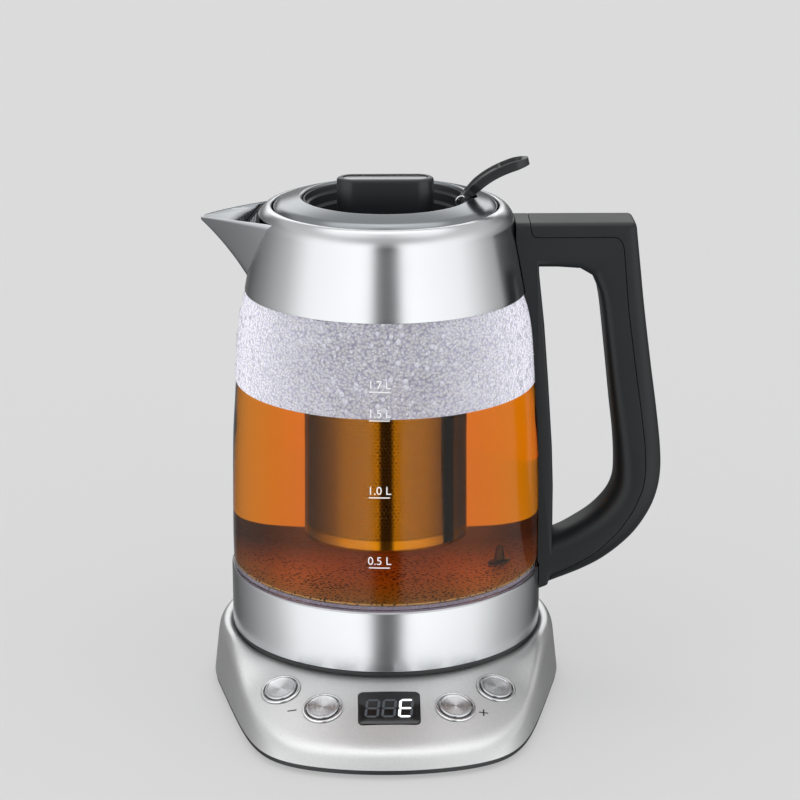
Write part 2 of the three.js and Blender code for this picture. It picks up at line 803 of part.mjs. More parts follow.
const bandFoot = 2.5;
const under = {
  footInset: 3, footWidth: 10.5, footChamfer: 1.6, plate: 2.5, wall: 2.4, sealDrop: 2.3, socketGap: 0.6,
};
const seal = { inset: 9.5, rise: 1.4 };
const heater = { thickness: 1.2, inset: 0.7, elementRadius: 36, elementTube: 3.3 };
const elementArc = THREE.MathUtils.degToRad(290);
const elementSteps = 12;
const elementFacets = 8;
const sensor = { x: 42, y: -6, stem: 2, flange: 4.6, flangeHeight: 1, pin: 2.2, tip: 0.8, height: 8.5, tail: 6 };

function lowerBand() {
  const lip = glassInset - gap / 2;
  const path = [[jugRadius, bandFoot], [jugRadius, bandHeight - lip], [jugRadius - lip, bandHeight]];
  return part("lower_band", revolve(walled(path, sheetWall), bigFacets), 0xc6c9cc, 0.28, 1);
}

function jugUnderside() {
  const wallOuter = jugRadius - sheetWall - gap;
  const wallTop = bandHeight - under.sealDrop;
  const bore = towerRadius + gap + socketWall + under.socketGap;
  const footOuter = jugRadius - under.footInset;
  const footInner = footOuter - under.footWidth;
  const body = revolve([
    [bore, underLift],
    [footInner, underLift],
    [footInner, 0],
    [footOuter, 0],
    [jugRadius - gap, under.footChamfer],
    [jugRadius - gap, bandFoot - gap],
    [wallOuter, bandFoot - gap],
    [wallOuter, wallTop],
    [wallOuter - under.wall, wallTop],
    [wallOuter - under.wall, underLift + under.plate],
    [bore, underLift + under.plate],
  ], bigFacets);
  return part("jug_underside", body, 0x232628, 0.55, 0);
}

function sealTop() {
  return bandHeight + seal.rise + gap;
}

function glassSeal() {
  const low = bandHeight - under.sealDrop + gap;
  const outer = jugRadius - sheetWall - 2 * gap;
  const step = glassPath()[0][0] - glassWall - gap;
  const inner = jugRadius - seal.inset;
  const body = revolve([
    [inner, low],
    [outer, low],
    [outer, bandHeight],
    [step, bandHeight],
    [step, sealTop()],
    [inner, sealTop()],
  ], bigFacets);
  return part("glass_seal", body, 0xb9a9b4, 0.4, 0, 0.7);
}

function heaterPlate() {
  const low = sealTop() + gap;
  const radius = glassPath()[0][0] - glassWall - heater.inset;
  const plate = disc(radius, low, low + heater.thickness, bigFacets);
  const hole = disc(sensor.stem + gap, low - overrun, low + heater.thickness + overrun, tinyFacets);
  return part("heater_plate", plate.subtract(hole.translate([sensor.x, sensor.y, 0])), 0xb9b4a8, 0.35, 1);
}

function heatingElement() {
  const height = sealTop() - heater.elementTube - gap;
  const radius = heater.elementTube - gap;
  const rings = [];
  for (let step = 0; step <= elementSteps; step += 1) {
    const angle = elementArc * (step / elementSteps - 0.5);
    const ring = [];
    for (let i = 0; i < elementFacets; i += 1) {
      const turn = (2 * Math.PI * (i + 0.5)) / elementFacets;
      ring.push(around(angle, heater.elementRadius + radius * Math.cos(turn), height - radius * Math.sin(turn)));
    }
    rings.push(ring);
  }
  let body = loftAlong(rings);
  for (const side of [-1, 1]) {
    const end = around(side * (elementArc / 2 - radius / heater.elementRadius), heater.elementRadius, height);
    body = body.add(disc(radius, -2 * heater.elementTube, 0, elementFacets).translate([end.x, end.y, end.z]));
  }
  return part("heating_element", body, 0x8b8e90, 0.5, 1);
}

function temperatureSensor() {
  const plateTop = sealTop() + gap + heater.thickness;
  const body = revolve([
    [0, plateTop - sensor.tail],
    [sensor.stem, plateTop - sensor.tail],
    [sensor.stem, plateTop + gap],
    [sensor.flange, plateTop + gap],
    [sensor.pin, plateTop + gap + sensor.flangeHeight],
    [sensor.tip, plateTop + sensor.height],
    [0, plateTop + sensor.height],
  ], tinyFacets);
  const piece = part("temperature_sensor", body, 0x3a3430, 0.4, 0.8);
  piece.position.set(sensor.x, sensor.y, 0);
  return piece;
}

// Coupler: the jug's half of the round connector, a cup over the tower with its own live rings

const coupler = { foot: 4.5, flangeLift: 0.6, flange: 3, flangeHeight: 2, top: 3.4, contactGap: 0.35 };

function couplerPieces() {
  const bore = towerRadius + gap * 2.5;
  const outer = towerRadius + gap + socketWall;
  const ceiling = coneRise + towerHeight + coupler.contactGap + ringSink + gap;
  const flangeLow = underLift + under.plate + coupler.flangeLift;
  const body = revolve([
    [0, ceiling],
    [bore, ceiling],
    [bore, coupler.foot],
    [outer, coupler.foot],
    [outer, flangeLow],
    [outer + coupler.flange, flangeLow],
    [outer + coupler.flange, flangeLow + coupler.flangeHeight],
    [outer, flangeLow + coupler.flangeHeight],
    [outer, ceiling + coupler.top],
    [0, ceiling + coupler.top],
  ], midFacets);
  const low = ceiling - gap - ringSink;
  const contacts = ringRadii.map((radius) => (
    tube(radius - ringWidth / 2, radius + ringWidth / 2, low, ceiling - gap, smallFacets)
  ));
  return [
    part("coupler_socket", body, 0x2a2d30, 0.5, 0),
    part("coupler_ring_inner", contacts[0], 0xc9a24a, 0.3, 1),
    part("coupler_ring_outer", contacts[1], 0xc9a24a, 0.3, 1),
    part("coupler_pin", disc(pinRadius, low, ceiling - gap, tinyFacets), 0xc9a24a, 0.3, 1),
  ];
}

// Handle: a D-shaped grip swept from the collar to the band, a spine along the glass and an outer cover strip

const gripShares = [
  // outer edge and inner edge: reach out from the band, height from the foot; last the squareness of the section
  [-0.245, 1, -0.245, 0.883, 7],
  [0.105, 1, 0.105, 0.882, 7],
  [0.42, 1, 0.28, 0.878, 7],
  [0.733, 1, 0.385, 0.858, 7],
  [0.776, 0.886, 0.442, 0.816, 6],
  [0.82, 0.77, 0.472, 0.761, 5.5],
  [0.888, 0.616, 0.524, 0.622, 5],
  [0.942, 0.505, 0.563, 0.508, 4],
  [0.986, 0.399, 0.598, 0.416, 3.5],
  [1, 0.324, 0.612, 0.338, 3],
  [0.976, 0.263, 0.601, 0.288, 2.8],
  [0.909, 0.206, 0.542, 0.246, 2.8],
  [0.778, 0.143, 0.42, 0.204, 2.8],
  [0.577, 0.086, 0.262, 0.169, 3],
  [0.367, 0.048, 0.131, 0.146, 3.2],
  [0.07, 0.011, -0.07, 0.121, 3.6],
];
const spineShares = [
  [-0.28, 1], [-0.061, 1], [-0.054, 0.87], [-0.005, 0.733], [0.035, 0.58], [0.075, 0.403], [0.089, 0.293],
  [0.092, 0.143], [0.092, 0.06], [0.063, 0.012], [-0.035, 0], [-0.28, 0],
];
const seamShares = [
  [0.063, -0.1], [0.063, 0.024], [0.1, 0.04], [0.245, 0.062], [0.455, 0.101], [0.647, 0.162], [0.769, 0.223],
  [0.839, 0.281], [0.86, 0.332], [0.846, 0.404], [0.802, 0.508], [0.748, 0.619], [0.68, 0.77], [0.629, 0.94],
  [0.59, 0.964], [-0.105, 0.964], [-0.128, 0.985], [-0.128, 1.1],
];
const seamBeyondShare = 1.5;
const gripFacets = 16;
const spineBevel = 1.2;

function handleTop() {
  return jugHeight - handleDrop;
}

// Reach is counted from the band at the handle's foot and from the collar at its top
function handlePoint([out, up]) {
  const root = THREE.MathUtils.lerp(jugRadius, collarFootRadius + handleStand, up);
  return [root + out * handleReach, THREE.MathUtils.lerp(handleFoot, handleTop(), up)];
}

function gripSweep() {
  const rings = gripShares.map(([outerOut, outerUp, innerOut, innerUp, squareness]) => {
    const outer = handlePoint([outerOut, outerUp]);
    const inner = handlePoint([innerOut, innerUp]);
    const ring = [];
    for (let i = 0; i < gripFacets; i += 1) {
      const angle = (2 * Math.PI * (i + 0.5)) / gripFacets;
      const [c, s] = [Math.cos(angle), Math.sin(angle)];
      const across = (Math.sign(c) * Math.abs(c) ** (2 / squareness) + 1) / 2;
      const y = (-Math.sign(s) * Math.abs(s) ** (2 / squareness) * handleWidth) / 2;
      const x = THREE.MathUtils.lerp(inner[0], outer[0], across);
      ring.push(new THREE.Vector3(x, y, THREE.MathUtils.lerp(inner[1], outer[1], across)));
    }
    return ring;
  });
  return loftAlong(rings);
}

function outlineShape(points) {
  return new THREE.Shape(points.map(([x, y]) => new THREE.Vector2(x, y)));
}

function seamRegion(distance) {
  const seam = shifted(seamShares.map(handlePoint), distance);
  const beyond = handlePoint([seamBeyondShare, seamBeyondShare])[0];
  const points = [...seam, [beyond, seam[seam.length - 1][1]], [beyond, seam[0][1]]];
  return sideways(outlineShape(points.reverse()), handleWidth + 2 * overrun);
}

// Everything that the handle stands clear of: the jug's outer skin and a little air
function jugEnvelope() {
  const upper = collarPath().slice(0, -2);
  upper.unshift([upper[0][0], collarFoot - gap]);
  const lower = [[jugRadius, 0], [jugRadius, bandHeight], ...glassPath().slice(0, -2)];
  const wide = [...lower, ...upper].map(([radius, height]) => [radius + gap, height]);
  return revolve([[0, -overrun], [jugRadius + gap, -overrun], ...wide, [0, jugHeight + overrun]], bigFacets);
}

function handle() {
  const grip = gripSweep();
  const spine = sideways(outlineShape(spineShares.map(handlePoint).reverse()), handleWidth, spineBevel);
  const frame = grip.add(spine).subtract(seamRegion(gap / 2)).subtract(jugEnvelope());
  const cover = grip.add(spine).intersect(seamRegion(-gap / 2)).subtract(jugEnvelope());
  return [
    part("handle_frame", frame, 0x343a3e, 0.5, 0),
    part("handle_cover", cover, 0x3a4044, 0.45, 0),
  ];
}

// Lid: a steel ring over a black stepped well, a seal round its skirt and a sprung lever at its back

const lid = {
  coneDrop: 2.6, coneOut: 49.6, edgeDrop: 4.6, lipDrop: 6.2, boreLip: 3.5, boreRound: 0.8,
};
const wellDrops = { ledgeLow: 19, ledgeHigh: 16, flange: 7.4, skirt: 16, stepIn: 0.4, seat: 4.4 };
const wellRises = { lip: 2.9, stepOut: 0.2 };
const well = {
  ledgeBore: 30.6, ledgeLow: jugHeight - wellDrops.ledgeLow, ledgeHigh: jugHeight - wellDrops.ledgeHigh,
  tubeWall: 2.1, flangeLow: jugHeight - wellDrops.flange, flangeThickness: 2.4,
  skirtInner: 42, skirtWall: 2.1, skirtLow: jugHeight - wellDrops.skirt,
  lipRadius: 38, lipWall: 0.8, lipTop: jugHeight + wellRises.lip,
  stepOut: 36.9, stepOutHeight: jugHeight + wellRises.stepOut, stepIn: 35.5, stepInHeight: jugHeight - wellDrops.stepIn,
  seatOut: 35.3, seatHeight: jugHeight - wellDrops.seat,
};
const notch = { halfWidth: 8, reach: 42 };
const earHeights = { drop: 2.6, rise: 4.6 };
const ear = {
  inner: 5.8, thickness: 1.5, near: 34.6, far: 38.9, low: jugHeight - earHeights.drop, high: jugHeight + earHeights.rise,
};
const pivotRise = 2.4;
const pivot = { x: 36.8, z: jugHeight + pivotRise, boss: 2.4, pin: 0.9 };

function lidTop() {
  return jugHeight + lidRise;
}

function lidRing() {
  const top = lidTop();
  const inner = lidBore - lid.boreRound - gap;
  const path = [
    [inner, top - lid.boreLip],
    [inner, top - lid.boreRound],
    [lidBore, top],
    [lid.coneOut, top - lid.coneDrop],
    [lidRadius, top - lid.edgeDrop],
    [lidRadius, top - lid.lipDrop],
  ];
  const ring = revolve([...path.slice().reverse(), ...shifted(path, -sheetWall)], bigFacets);
  const depth = lid.lipDrop + overrun;
  const reach = notch.reach - strainerBore;
  const cut = block(reach, 2 * notch.halfWidth, 2 * depth, strainerBore + reach / 2, 0, top);
  return part("lid_ring", ring.subtract(cut), 0xc6c9cc, 0.25, 1);
}

function lidWell() {
  const seatTop = jugHeight - neck.drop + gap;
  const body = revolve([
    [well.ledgeBore, well.ledgeLow],
    [strainerBore + well.tubeWall, well.ledgeLow],
    [strainerBore + well.tubeWall, well.flangeLow],
    [well.skirtInner, well.flangeLow],
    [well.skirtInner, well.skirtLow],
    [well.skirtInner + well.skirtWall, well.skirtLow],
    [well.skirtInner + well.skirtWall, seatTop],
    [lidRadius - 3 * gap, seatTop],
    [lidRadius - 3 * gap, seatTop + well.flangeThickness],
    [well.lipRadius, seatTop + well.flangeThickness],
    [well.lipRadius, well.lipTop],
    [well.lipRadius - well.lipWall, well.lipTop],
    [well.stepOut, well.stepOutHeight],
    [well.stepIn, well.stepInHeight],
    [well.seatOut, well.seatHeight],
    [strainerBore, well.seatHeight - well.lipWall],
    [strainerBore, well.ledgeHigh],
    [well.ledgeBore, well.ledgeHigh],
  ], bigFacets);
  const slotLow = pivot.z - pivot.boss - gap;
  const slotHigh = well.lipTop + overrun;
  const slotReach = notch.reach - strainerBore;
  const slotMiddle = strainerBore + slotReach / 2;
  const slot = block(slotReach, 2 * ear.inner, slotHigh - slotLow, slotMiddle, 0, (slotHigh + slotLow) / 2);
  let result = body.subtract(slot);
  for (const side of [-1, 1]) {
    const y = side * (ear.inner + ear.thickness / 2);
    const [x, z] = [(ear.near + ear.far) / 2, (ear.low + ear.high) / 2];
    result = result.add(block(ear.far - ear.near, ear.thickness, ear.high - ear.low, x, y, z));
  }
  const bore = disc(pivot.pin + gap, -notch.halfWidth, notch.halfWidth, tinyFacets);
  return part("lid_well", result.subtract(turned(bore, pivotPlace())), 0x16181a, 0.4, 0);
}

function pivotPlace() {
  return new THREE.Matrix4().makeRotationX(Math.PI / 2).setPosition(pivot.x, 0, pivot.z);
}

function leverPin() {
  const half = ear.inner + ear.thickness;
  return placed(part("lever_pin", disc(pivot.pin, -half, half, tinyFacets), 0xc9cbcc, 0.3, 1), pivotPlace());
}

const sealRing = { wall: 2.4, low: 3, height: 3.6 };

function lidSeal() {
  const inner = well.skirtInner + well.skirtWall + gap;
  const low = well.skirtLow + sealRing.low;
  const body = revolve([
    [inner, low],
    [inner + sealRing.wall - gap, low],
    [inner + sealRing.wall, low + sealRing.height / 2],
    [inner + sealRing.wall - gap, low + sealRing.height],
    [inner, low + sealRing.height],
  ], bigFacets);
  return part("lid_seal", body, 0x9a9c9e, 0.8, 0);
}

// The lever: an upswept bar with a finger recess, pinned at its root
const leverRise = 14.7;
const leverBow = { outShare: 0.44, riseShare: 0.8, topOutShare: 0.4, topRiseShare: 0.93 };
const leverRecess = { fromShare: 0.42, toShare: 0.93, depth: 1.3, rim: 2 };
const leverTipRound = 3.4;

function lidLever() {
  const [x0, z0] = [pivot.x - pivot.boss - gap / 2, pivot.z];
  const rootRise = leverThickness - gap;
  const shape = new THREE.Shape();
  const tip = x0 + leverLength;
  const underTip = z0 + leverRise;
  shape.moveTo(x0, z0);
  shape.lineTo(pivot.x + pivot.boss, z0);
  shape.quadraticCurveTo(x0 + leverLength * leverBow.outShare, z0 + leverRise * leverBow.riseShare, tip, underTip);
  shape.lineTo(tip + gap, underTip + leverThickness * 0.75);
  shape.lineTo(tip - leverThickness / 4, underTip + leverThickness);
  const crown = z0 + rootRise + leverRise * leverBow.topRiseShare;
  shape.quadraticCurveTo(x0 + leverLength * leverBow.topOutShare, crown, x0, z0 + rootRise);
  let body = sideways(shape, leverWidth, gap * 2);
  const boss = turned(disc(pivot.boss, -leverWidth / 2, leverWidth / 2, tinyFacets), pivotPlace());
  body = body.add(boss);
  const outline = roundedOutline(2 * leverLength, leverWidth, leverTipRound);
  const plan = upright(outline, z0 - leverThickness, z0 + 2 * leverLength, 3);
  body = body.intersect(plan.translate([x0 + gap, 0, 0]));
  const length = leverLength * (leverRecess.toShare - leverRecess.fromShare);
  const middle = x0 + (leverLength * (leverRecess.toShare + leverRecess.fromShare)) / 2;
  const scoop = roundedOutline(length, leverWidth - 2 * leverRecess.rim, leverTipRound - leverRecess.rim / 2);
  const floorHeight = underTip + leverThickness - leverRecess.depth;
  const scoopCut = upright(scoop, floorHeight, floorHeight + leverLength, 3);
  body = body.subtract(scoopCut.translate([middle, 0, 0]));
  const bore = turned(disc(pivot.pin + gap, -leverWidth, leverWidth, tinyFacets), pivotPlace());
  return part("lid_lever", body.subtract(bore), 0x2e3337, 0.45, 0);
}

// Strainer: a perforated steel basket that hangs by its rim, under a cap with a grip

const basketRows = 4;
const basketColumns = 16;
const basket = { wall: 0.8, lip: 3, lipThickness: 0.6, chamfer: 0.8, bandLow: 7, bandHigh: 16 };
const basketHoleShares = { width: 0.52, height: 0.6 };
const rimNeckDrop = 23;
const rim = { neckLow: jugHeight - rimNeckDrop, wall: 1.2, flange: 3, inset: 0.4 };
const capSizes = {
  spigotDepth: 6, spigotInset: 0.4, flange: 2.1, edge: 0.8, ringInset: 2.8, sink: 1,
  gripLength: 44.8, gripWidth: 15.8, gripRise: 12.6, gripBevel: 1.2, inlayLength: 39, inlayWidth: 9.6, inlayDepth: 0.8,
};

function rimTop() {
  return well.ledgeHigh + gap + rim.flange;
}

function strainerRim() {
  const inner = (basketRadius + gap) / flatRadius(1, bigFacets);
  const low = well.ledgeHigh + gap;
  const body = revolve([
    [inner, rim.neckLow],
    [inner + rim.wall, rim.neckLow],
    [inner + rim.wall, low],
    [strainerBore - rim.inset, low],
    [strainerBore - rim.inset, rimTop()],
    [inner, rimTop()],
  ], bigFacets);
  return part("strainer_rim", body, 0x1c1f21, 0.5, 0);
}

function strainerBasket() {
  const top = rimTop() + gap + basket.lipThickness;
  const low = sealTop() + gap + heater.thickness + basketLift;
  const inner = basketRadius - basket.wall;
  let body = revolve([
    [0, low],
    [basketRadius - basket.chamfer, low],
    [basketRadius, low + basket.chamfer],
    [basketRadius, rimTop() + gap],
    [basketRadius + basket.lip, rimTop() + gap],
    [basketRadius + basket.lip, top],
    [inner, top],
    [inner, low + basket.wall],
    [0, low + basket.wall],
  ], basketColumns);
  const pitch = (rim.neckLow - basket.bandHigh - low - basket.bandLow) / basketRows;
  const height = pitch * basketHoleShares.height;
  const width = ((2 * Math.PI * basketRadius) / basketColumns) * basketHoleShares.width;
  for (let column = 0; column < basketColumns / 2; column += 1) {
    const angle = (2 * Math.PI * (column + 0.5)) / basketColumns;
    for (let row = 0; row < basketRows; row += 1) {
      const z = low + basket.bandLow + pitch * (row + 0.5);
      const hole = new THREE.BoxGeometry(2 * (basketRadius + overrun), width, height).translate(0, 0, z);
      body = body.subtract(solid(hole.rotateZ(angle)));
    }
  }
  return part("strainer_basket", body, 0xb3b0a8, 0.35, 1);
}

function strainerCap() {
  const low = rimTop() + 2 * gap + basket.lipThickness;
  const top = low + capSizes.flange;
  const radius = strainerBore - rim.inset;
  const spigot = flatRadius(basketRadius - basket.wall, basketColumns) - capSizes.spigotInset;
  const body = revolve([
    [0, low - capSizes.spigotDepth],
    [spigot, low - capSizes.spigotDepth],
    [spigot, low],
    [radius, low],
    [radius, top],
    [radius - capSizes.edge, top + capSizes.edge],
    [radius - capSizes.ringInset, top + capSizes.edge],
    [radius - capSizes.ringInset - gap, top + capSizes.edge - capSizes.sink],
    [0, top + capSizes.edge - capSizes.sink],
  ], bigFacets);
  const { gripLength, gripWidth, gripRise, gripBevel, inlayLength, inlayWidth, inlayDepth } = capSizes;
  const gripTop = jugHeight + gripRise;
  const outline = roundedOutline(gripLength - 2 * gripBevel, gripWidth - 2 * gripBevel, gripWidth / 2 - gripBevel);
  const options = {
    depth: gripTop - top - 2 * gripBevel,
    bevelEnabled: true,
    bevelSize: gripBevel,
    bevelThickness: gripBevel,
    bevelSegments: 1,
    curveSegments: 4,
  };
  const grip = solid(new THREE.ExtrudeGeometry(outline, options).translate(0, 0, top + gripBevel - gap));
  const clearance = gap / 2;
  const pocketOutline = roundedOutline(inlayLength + gap, inlayWidth + gap, (inlayWidth + gap) / 2);
  const pocket = upright(pocketOutline, gripTop - inlayDepth - gap - clearance, gripTop + overrun, 4);
  const inlay = upright(roundedOutline(inlayLength, inlayWidth, inlayWidth / 2), gripTop - inlayDepth - gap, gripTop - gap, 4);
  return [
    part("strainer_cap", body.add(grip).subtract(pocket), 0x22262a, 0.4, 0),
    part("grip_inlay", inlay, 0xcdd0d2, 0.25, 1),
  ];
}

// The whole part. The jug stands on the base plate, and the origin lies on the table under the middle of the part.

function assembleBase() {
  const base = new THREE.Group();
  base.add(baseCover(), baseFloor(), ...baseFeet(), cordInlet());
  base.add(connectorDisc(), connectorTower(), ...contactPieces(), ...controls(), powerBoardPiece());
  return base;
}

function assembleJug() {
  const jug = new THREE.Group();
  jug.add(glassBody(), collar(), spoutPiece(), spoutFilter(), neckRing());
  jug.add(lowerBand(), jugUnderside(), glassSeal(), heaterPlate(), heatingElement(), temperatureSensor());
  jug.add(...couplerPieces(), ...handle());
  jug.add(lidRing(), lidWell(), lidSeal(), leverPin(), lidLever());
  jug.add(strainerRim(), strainerBasket(), ...strainerCap());
  jug.position.z = plateHeight + gap;
  return jug;
}

const teaMaker = new THREE.Group();
teaMaker.add(assembleBase(), assembleJug());
const bounds = new THREE.Box3().setFromObject(teaMaker);
teaMaker.position.x = -(bounds.min.x + bounds.max.x) / 2;
teaMaker.position.y = -(bounds.min.y + bounds.max.y) / 2;
teaMaker.updateMatrixWorld(true);

export default teaMaker;
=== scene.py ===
import bpy
import bmesh
import numpy as np
from math import radians, pi
from mathutils import Matrix, Vector


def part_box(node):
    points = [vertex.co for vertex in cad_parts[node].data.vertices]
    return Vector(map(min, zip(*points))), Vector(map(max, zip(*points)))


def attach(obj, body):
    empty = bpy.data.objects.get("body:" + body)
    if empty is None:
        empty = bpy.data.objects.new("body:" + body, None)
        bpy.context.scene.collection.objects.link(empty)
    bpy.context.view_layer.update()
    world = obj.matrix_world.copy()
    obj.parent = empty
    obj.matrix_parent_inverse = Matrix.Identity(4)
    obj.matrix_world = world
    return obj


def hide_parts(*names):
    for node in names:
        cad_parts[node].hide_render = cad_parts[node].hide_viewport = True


# Glass tea kettle with a hanging strainer, on its power base. Lengths in the script are millimetres; jug
# pieces are drawn from the jug's underside and base pieces from the table, both round the jug's own axis.
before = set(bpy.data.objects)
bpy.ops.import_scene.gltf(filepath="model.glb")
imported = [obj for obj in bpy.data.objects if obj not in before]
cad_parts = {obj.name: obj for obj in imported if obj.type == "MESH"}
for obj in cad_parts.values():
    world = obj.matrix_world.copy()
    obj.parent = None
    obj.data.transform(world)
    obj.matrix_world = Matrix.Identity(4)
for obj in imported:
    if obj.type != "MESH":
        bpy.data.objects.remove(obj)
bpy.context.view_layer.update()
bandLow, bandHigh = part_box("lower_band")
underLow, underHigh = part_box("jug_underside")
axisX = 500 * (bandLow[0] + bandHigh[0])
axisY = 500 * (bandLow[1] + bandHigh[1])
jugOrigin = np.array([axisX, axisY, 1000 * underLow[2]])
baseOrigin = np.array([axisX, axisY, 0.0])
origins = {}
print("frame loaded, jug axis at", round(axisX, 2), round(axisY, 2))


def newObject(name, data):
    made = bpy.data.objects.new(name, data)
    bpy.context.scene.collection.objects.link(made)
    return made


# Camera, fitted to the ellipses of the jug and the base
view = dict(across=-17.4, back=-1155.5, height=492.4, pitch=17.02, turn=-1.2, lens=114.77)
camera = newObject("camera", bpy.data.cameras.new("camera"))
camera.location = ((axisX + view["across"]) / 1000, (axisY + view["back"]) / 1000, view["height"] / 1000)
camera.rotation_euler = (radians(90 - view["pitch"]), 0, radians(view["turn"]))
camera.data.lens = view["lens"]
camera.data.sensor_width = 36
camera.data.clip_end = 50
bpy.context.scene.camera = camera


# Surfaces from numpy grids

def spline(points, steps=6):
    # Catmull-Rom curve through the points: each span is a cubic in t whose slopes follow its neighbours
    p = np.asarray(points, float)
    ends = np.vstack([2 * p[0] - p[1], p, 2 * p[-1] - p[-2]])
    a, b, c, d = ends[:-3], ends[1:-2], ends[2:-1], ends[3:]
    t = np.linspace(0, 1, steps, endpoint=False)[None, :, None]
    a, b, c, d = (q[:, None, :] for q in (a, b, c, d))
    curve = 0.5 * (2 * b + (c - a) * t + (2 * a - 5 * b + 4 * c - d) * t**2 + (3 * b - a - 3 * c + d) * t**3)
    return np.vstack([curve.reshape(-1, p.shape[1]), p[-1]])


def rounded(corners, radius, steps=5, closed=True):
    # every corner becomes a quadratic arc between the two points that lie a radius away from it
    c = np.asarray(corners, float)
    r = np.broadcast_to(np.asarray(radius, float), len(c)).copy()
    before, after = np.roll(c, 1, 0) - c, np.roll(c, -1, 0) - c
    lb, la = np.linalg.norm(before, axis=1) + 1e-9, np.linalg.norm(after, axis=1) + 1e-9
    if not closed:
        r[0] = r[-1] = 0
    cut = np.minimum(r, 0.48 * np.minimum(lb, la))[:, None]
    a, b = c + before / lb[:, None] * cut, c + after / la[:, None] * cut
    t = np.linspace(0, 1, steps)[None, :, None]
    arc = (1 - t) ** 2 * a[:, None] + 2 * t * (1 - t) * c[:, None] + t**2 * b[:, None]
    path = arc.reshape(-1, c.shape[1])
    if closed:
        path = np.vstack([path, path[0]])
    keep = np.r_[True, np.linalg.norm(np.diff(path, axis=0), axis=1) > 1e-5]
    return path[keep]


def offset(path, distance, closed=False):
    # each point moves along the mean of its two edge normals, to the left of travel
    p = np.asarray(path, float)
    edge = np.diff(np.vstack([p, p[1] if closed else p[-1]]), axis=0)
    edge[-1] = edge[0] if closed else edge[-2]
    edge /= np.linalg.norm(edge, axis=1)[:, None] + 1e-12
    normal = np.stack([-edge[:, 1], edge[:, 0]], 1)
    last = np.vstack([normal[-2] if closed else normal[0], normal[:-1]])
    middle = normal + last
    middle /= np.linalg.norm(middle, axis=1)[:, None] + 1e-12
    return p + middle * (distance / np.maximum((middle * normal).sum(1), 0.3))[:, None]


def turned(profile, segments=160, wave=None):
    # surface of revolution: (r cos a, r sin a, z) for each profile point and angle, seam towards the back
    r, z = np.asarray(profile, float).T
    a = pi / 2 + np.linspace(0, 2 * pi, segments + 1)
    radius = r[:, None] + (0 if wave is None else wave(z[:, None], a[None, :]))
    return np.stack([radius * np.cos(a), radius * np.sin(a), np.repeat(z[:, None], segments + 1, 1)], -1)


def capped(rings):
    # closes a stack of rings with its two end rings drawn in to their middles
    first = np.repeat(rings[:1, :-1].mean(1)[:, None], rings.shape[1], 1)
    last = np.repeat(rings[-1:, :-1].mean(1)[:, None], rings.shape[1], 1)
    return np.concatenate([first, rings, last])


def roundedPlate(width, depth, corner, count=64):
    # outline of a plate: a circle of the corner radius pushed out to the four corner centres
    a = (np.arange(count) + 0.5) * 2 * pi / count
    x = np.sign(np.cos(a)) * (width / 2 - corner) + corner * np.cos(a)
    y = np.sign(np.sin(a)) * (depth / 2 - corner) + corner * np.sin(a)
    ring = np.stack([x, y], 1)
    return np.vstack([ring, ring[0]])


def slab(outline, low, high, top=0.5, bottom=0.3, steps=4):
    # a plate between two heights; its edges turn in by a quarter circle
    t = np.linspace(0, pi / 2, steps)
    inset = np.r_[bottom * (1 - np.sin(t)), top * (1 - np.cos(t))]
    height = np.r_[low + bottom * (1 - np.cos(t)), high - top * (1 - np.sin(t))]
    rings = [np.column_stack([offset(outline, d, True), np.full(len(outline), z)]) for d, z in zip(inset, height)]
    return capped(np.array(rings))


def sideSlab(outline, half, edge, steps=4):
    # an outline in the XZ plane, given clockwise as seen from -Y, carried from -Y to +Y with rounded edges
    rings = slab(outline[::-1], -half, half, edge, edge, steps)
    return np.stack([rings[..., 0], rings[..., 2], rings[..., 1]], -1)[:, ::-1]


def meshFrom(name, grids, origin):
    points, faces, uvs, first = [], [], [], 0
    for grid in grids:
        rows, columns = grid.shape[:2]
        i = first + np.arange(rows - 1)[:, None] * columns + np.arange(columns - 1)[None, :]
        faces.append(np.stack([i, i + 1, i + columns + 1, i + columns], -1).reshape(-1, 4))
        across = np.linalg.norm(np.diff(grid, axis=1, prepend=grid[:, :1]), axis=2).cumsum(1)
        along = np.linalg.norm(np.diff(grid, axis=0, prepend=grid[:1]), axis=2).cumsum(0)
        widest = across[np.argmax(across[:, -1])]
        uvs.append(np.stack([np.broadcast_to(widest, (rows, columns)), along], -1).reshape(-1, 2) / 100)
        points.append(grid.reshape(-1, 3))
        first += rows * columns
    points, faces, uvs = np.vstack(points), np.vstack(faces), np.vstack(uvs)
    mesh = bpy.data.meshes.new(name)
    mesh.from_pydata(((points + origin) / 1000).tolist(), [], faces.tolist())
    layer = mesh.uv_layers.new(name="surface")
    corner = np.empty(len(mesh.loops), np.int32)
    mesh.loops.foreach_get("vertex_index", corner)
    layer.data.foreach_set("uv", uvs[corner].astype(np.float32).ravel())
    merge(mesh)
    return mesh


def merge(mesh):
    work = bmesh.new()
    work.from_mesh(mesh)
    bmesh.ops.remove_doubles(work, verts=work.verts, dist=2e-6)
    bmesh.ops.dissolve_degenerate(work, edges=work.edges, dist=1e-7)
    work.to_mesh(mesh)
    work.free()


def smooth(mesh, angle):
    mesh.polygons.foreach_set("use_smooth", np.ones(len(mesh.polygons), bool))
    mesh.set_sharp_from_angle(angle=radians(angle))


def addPiece(name, grids, body, material, replaced=None, sharp=32):
    onBase = body == "base" or body.endswith("_button")
    origins[name] = baseOrigin if onBase else jugOrigin
    piece = newObject(name, meshFrom(name, grids, origins[name]))
    piece.data.materials.append(material)
    smooth(piece.data, sharp)
    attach(piece, body)
    if replaced:
        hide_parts(replaced)
    return piece


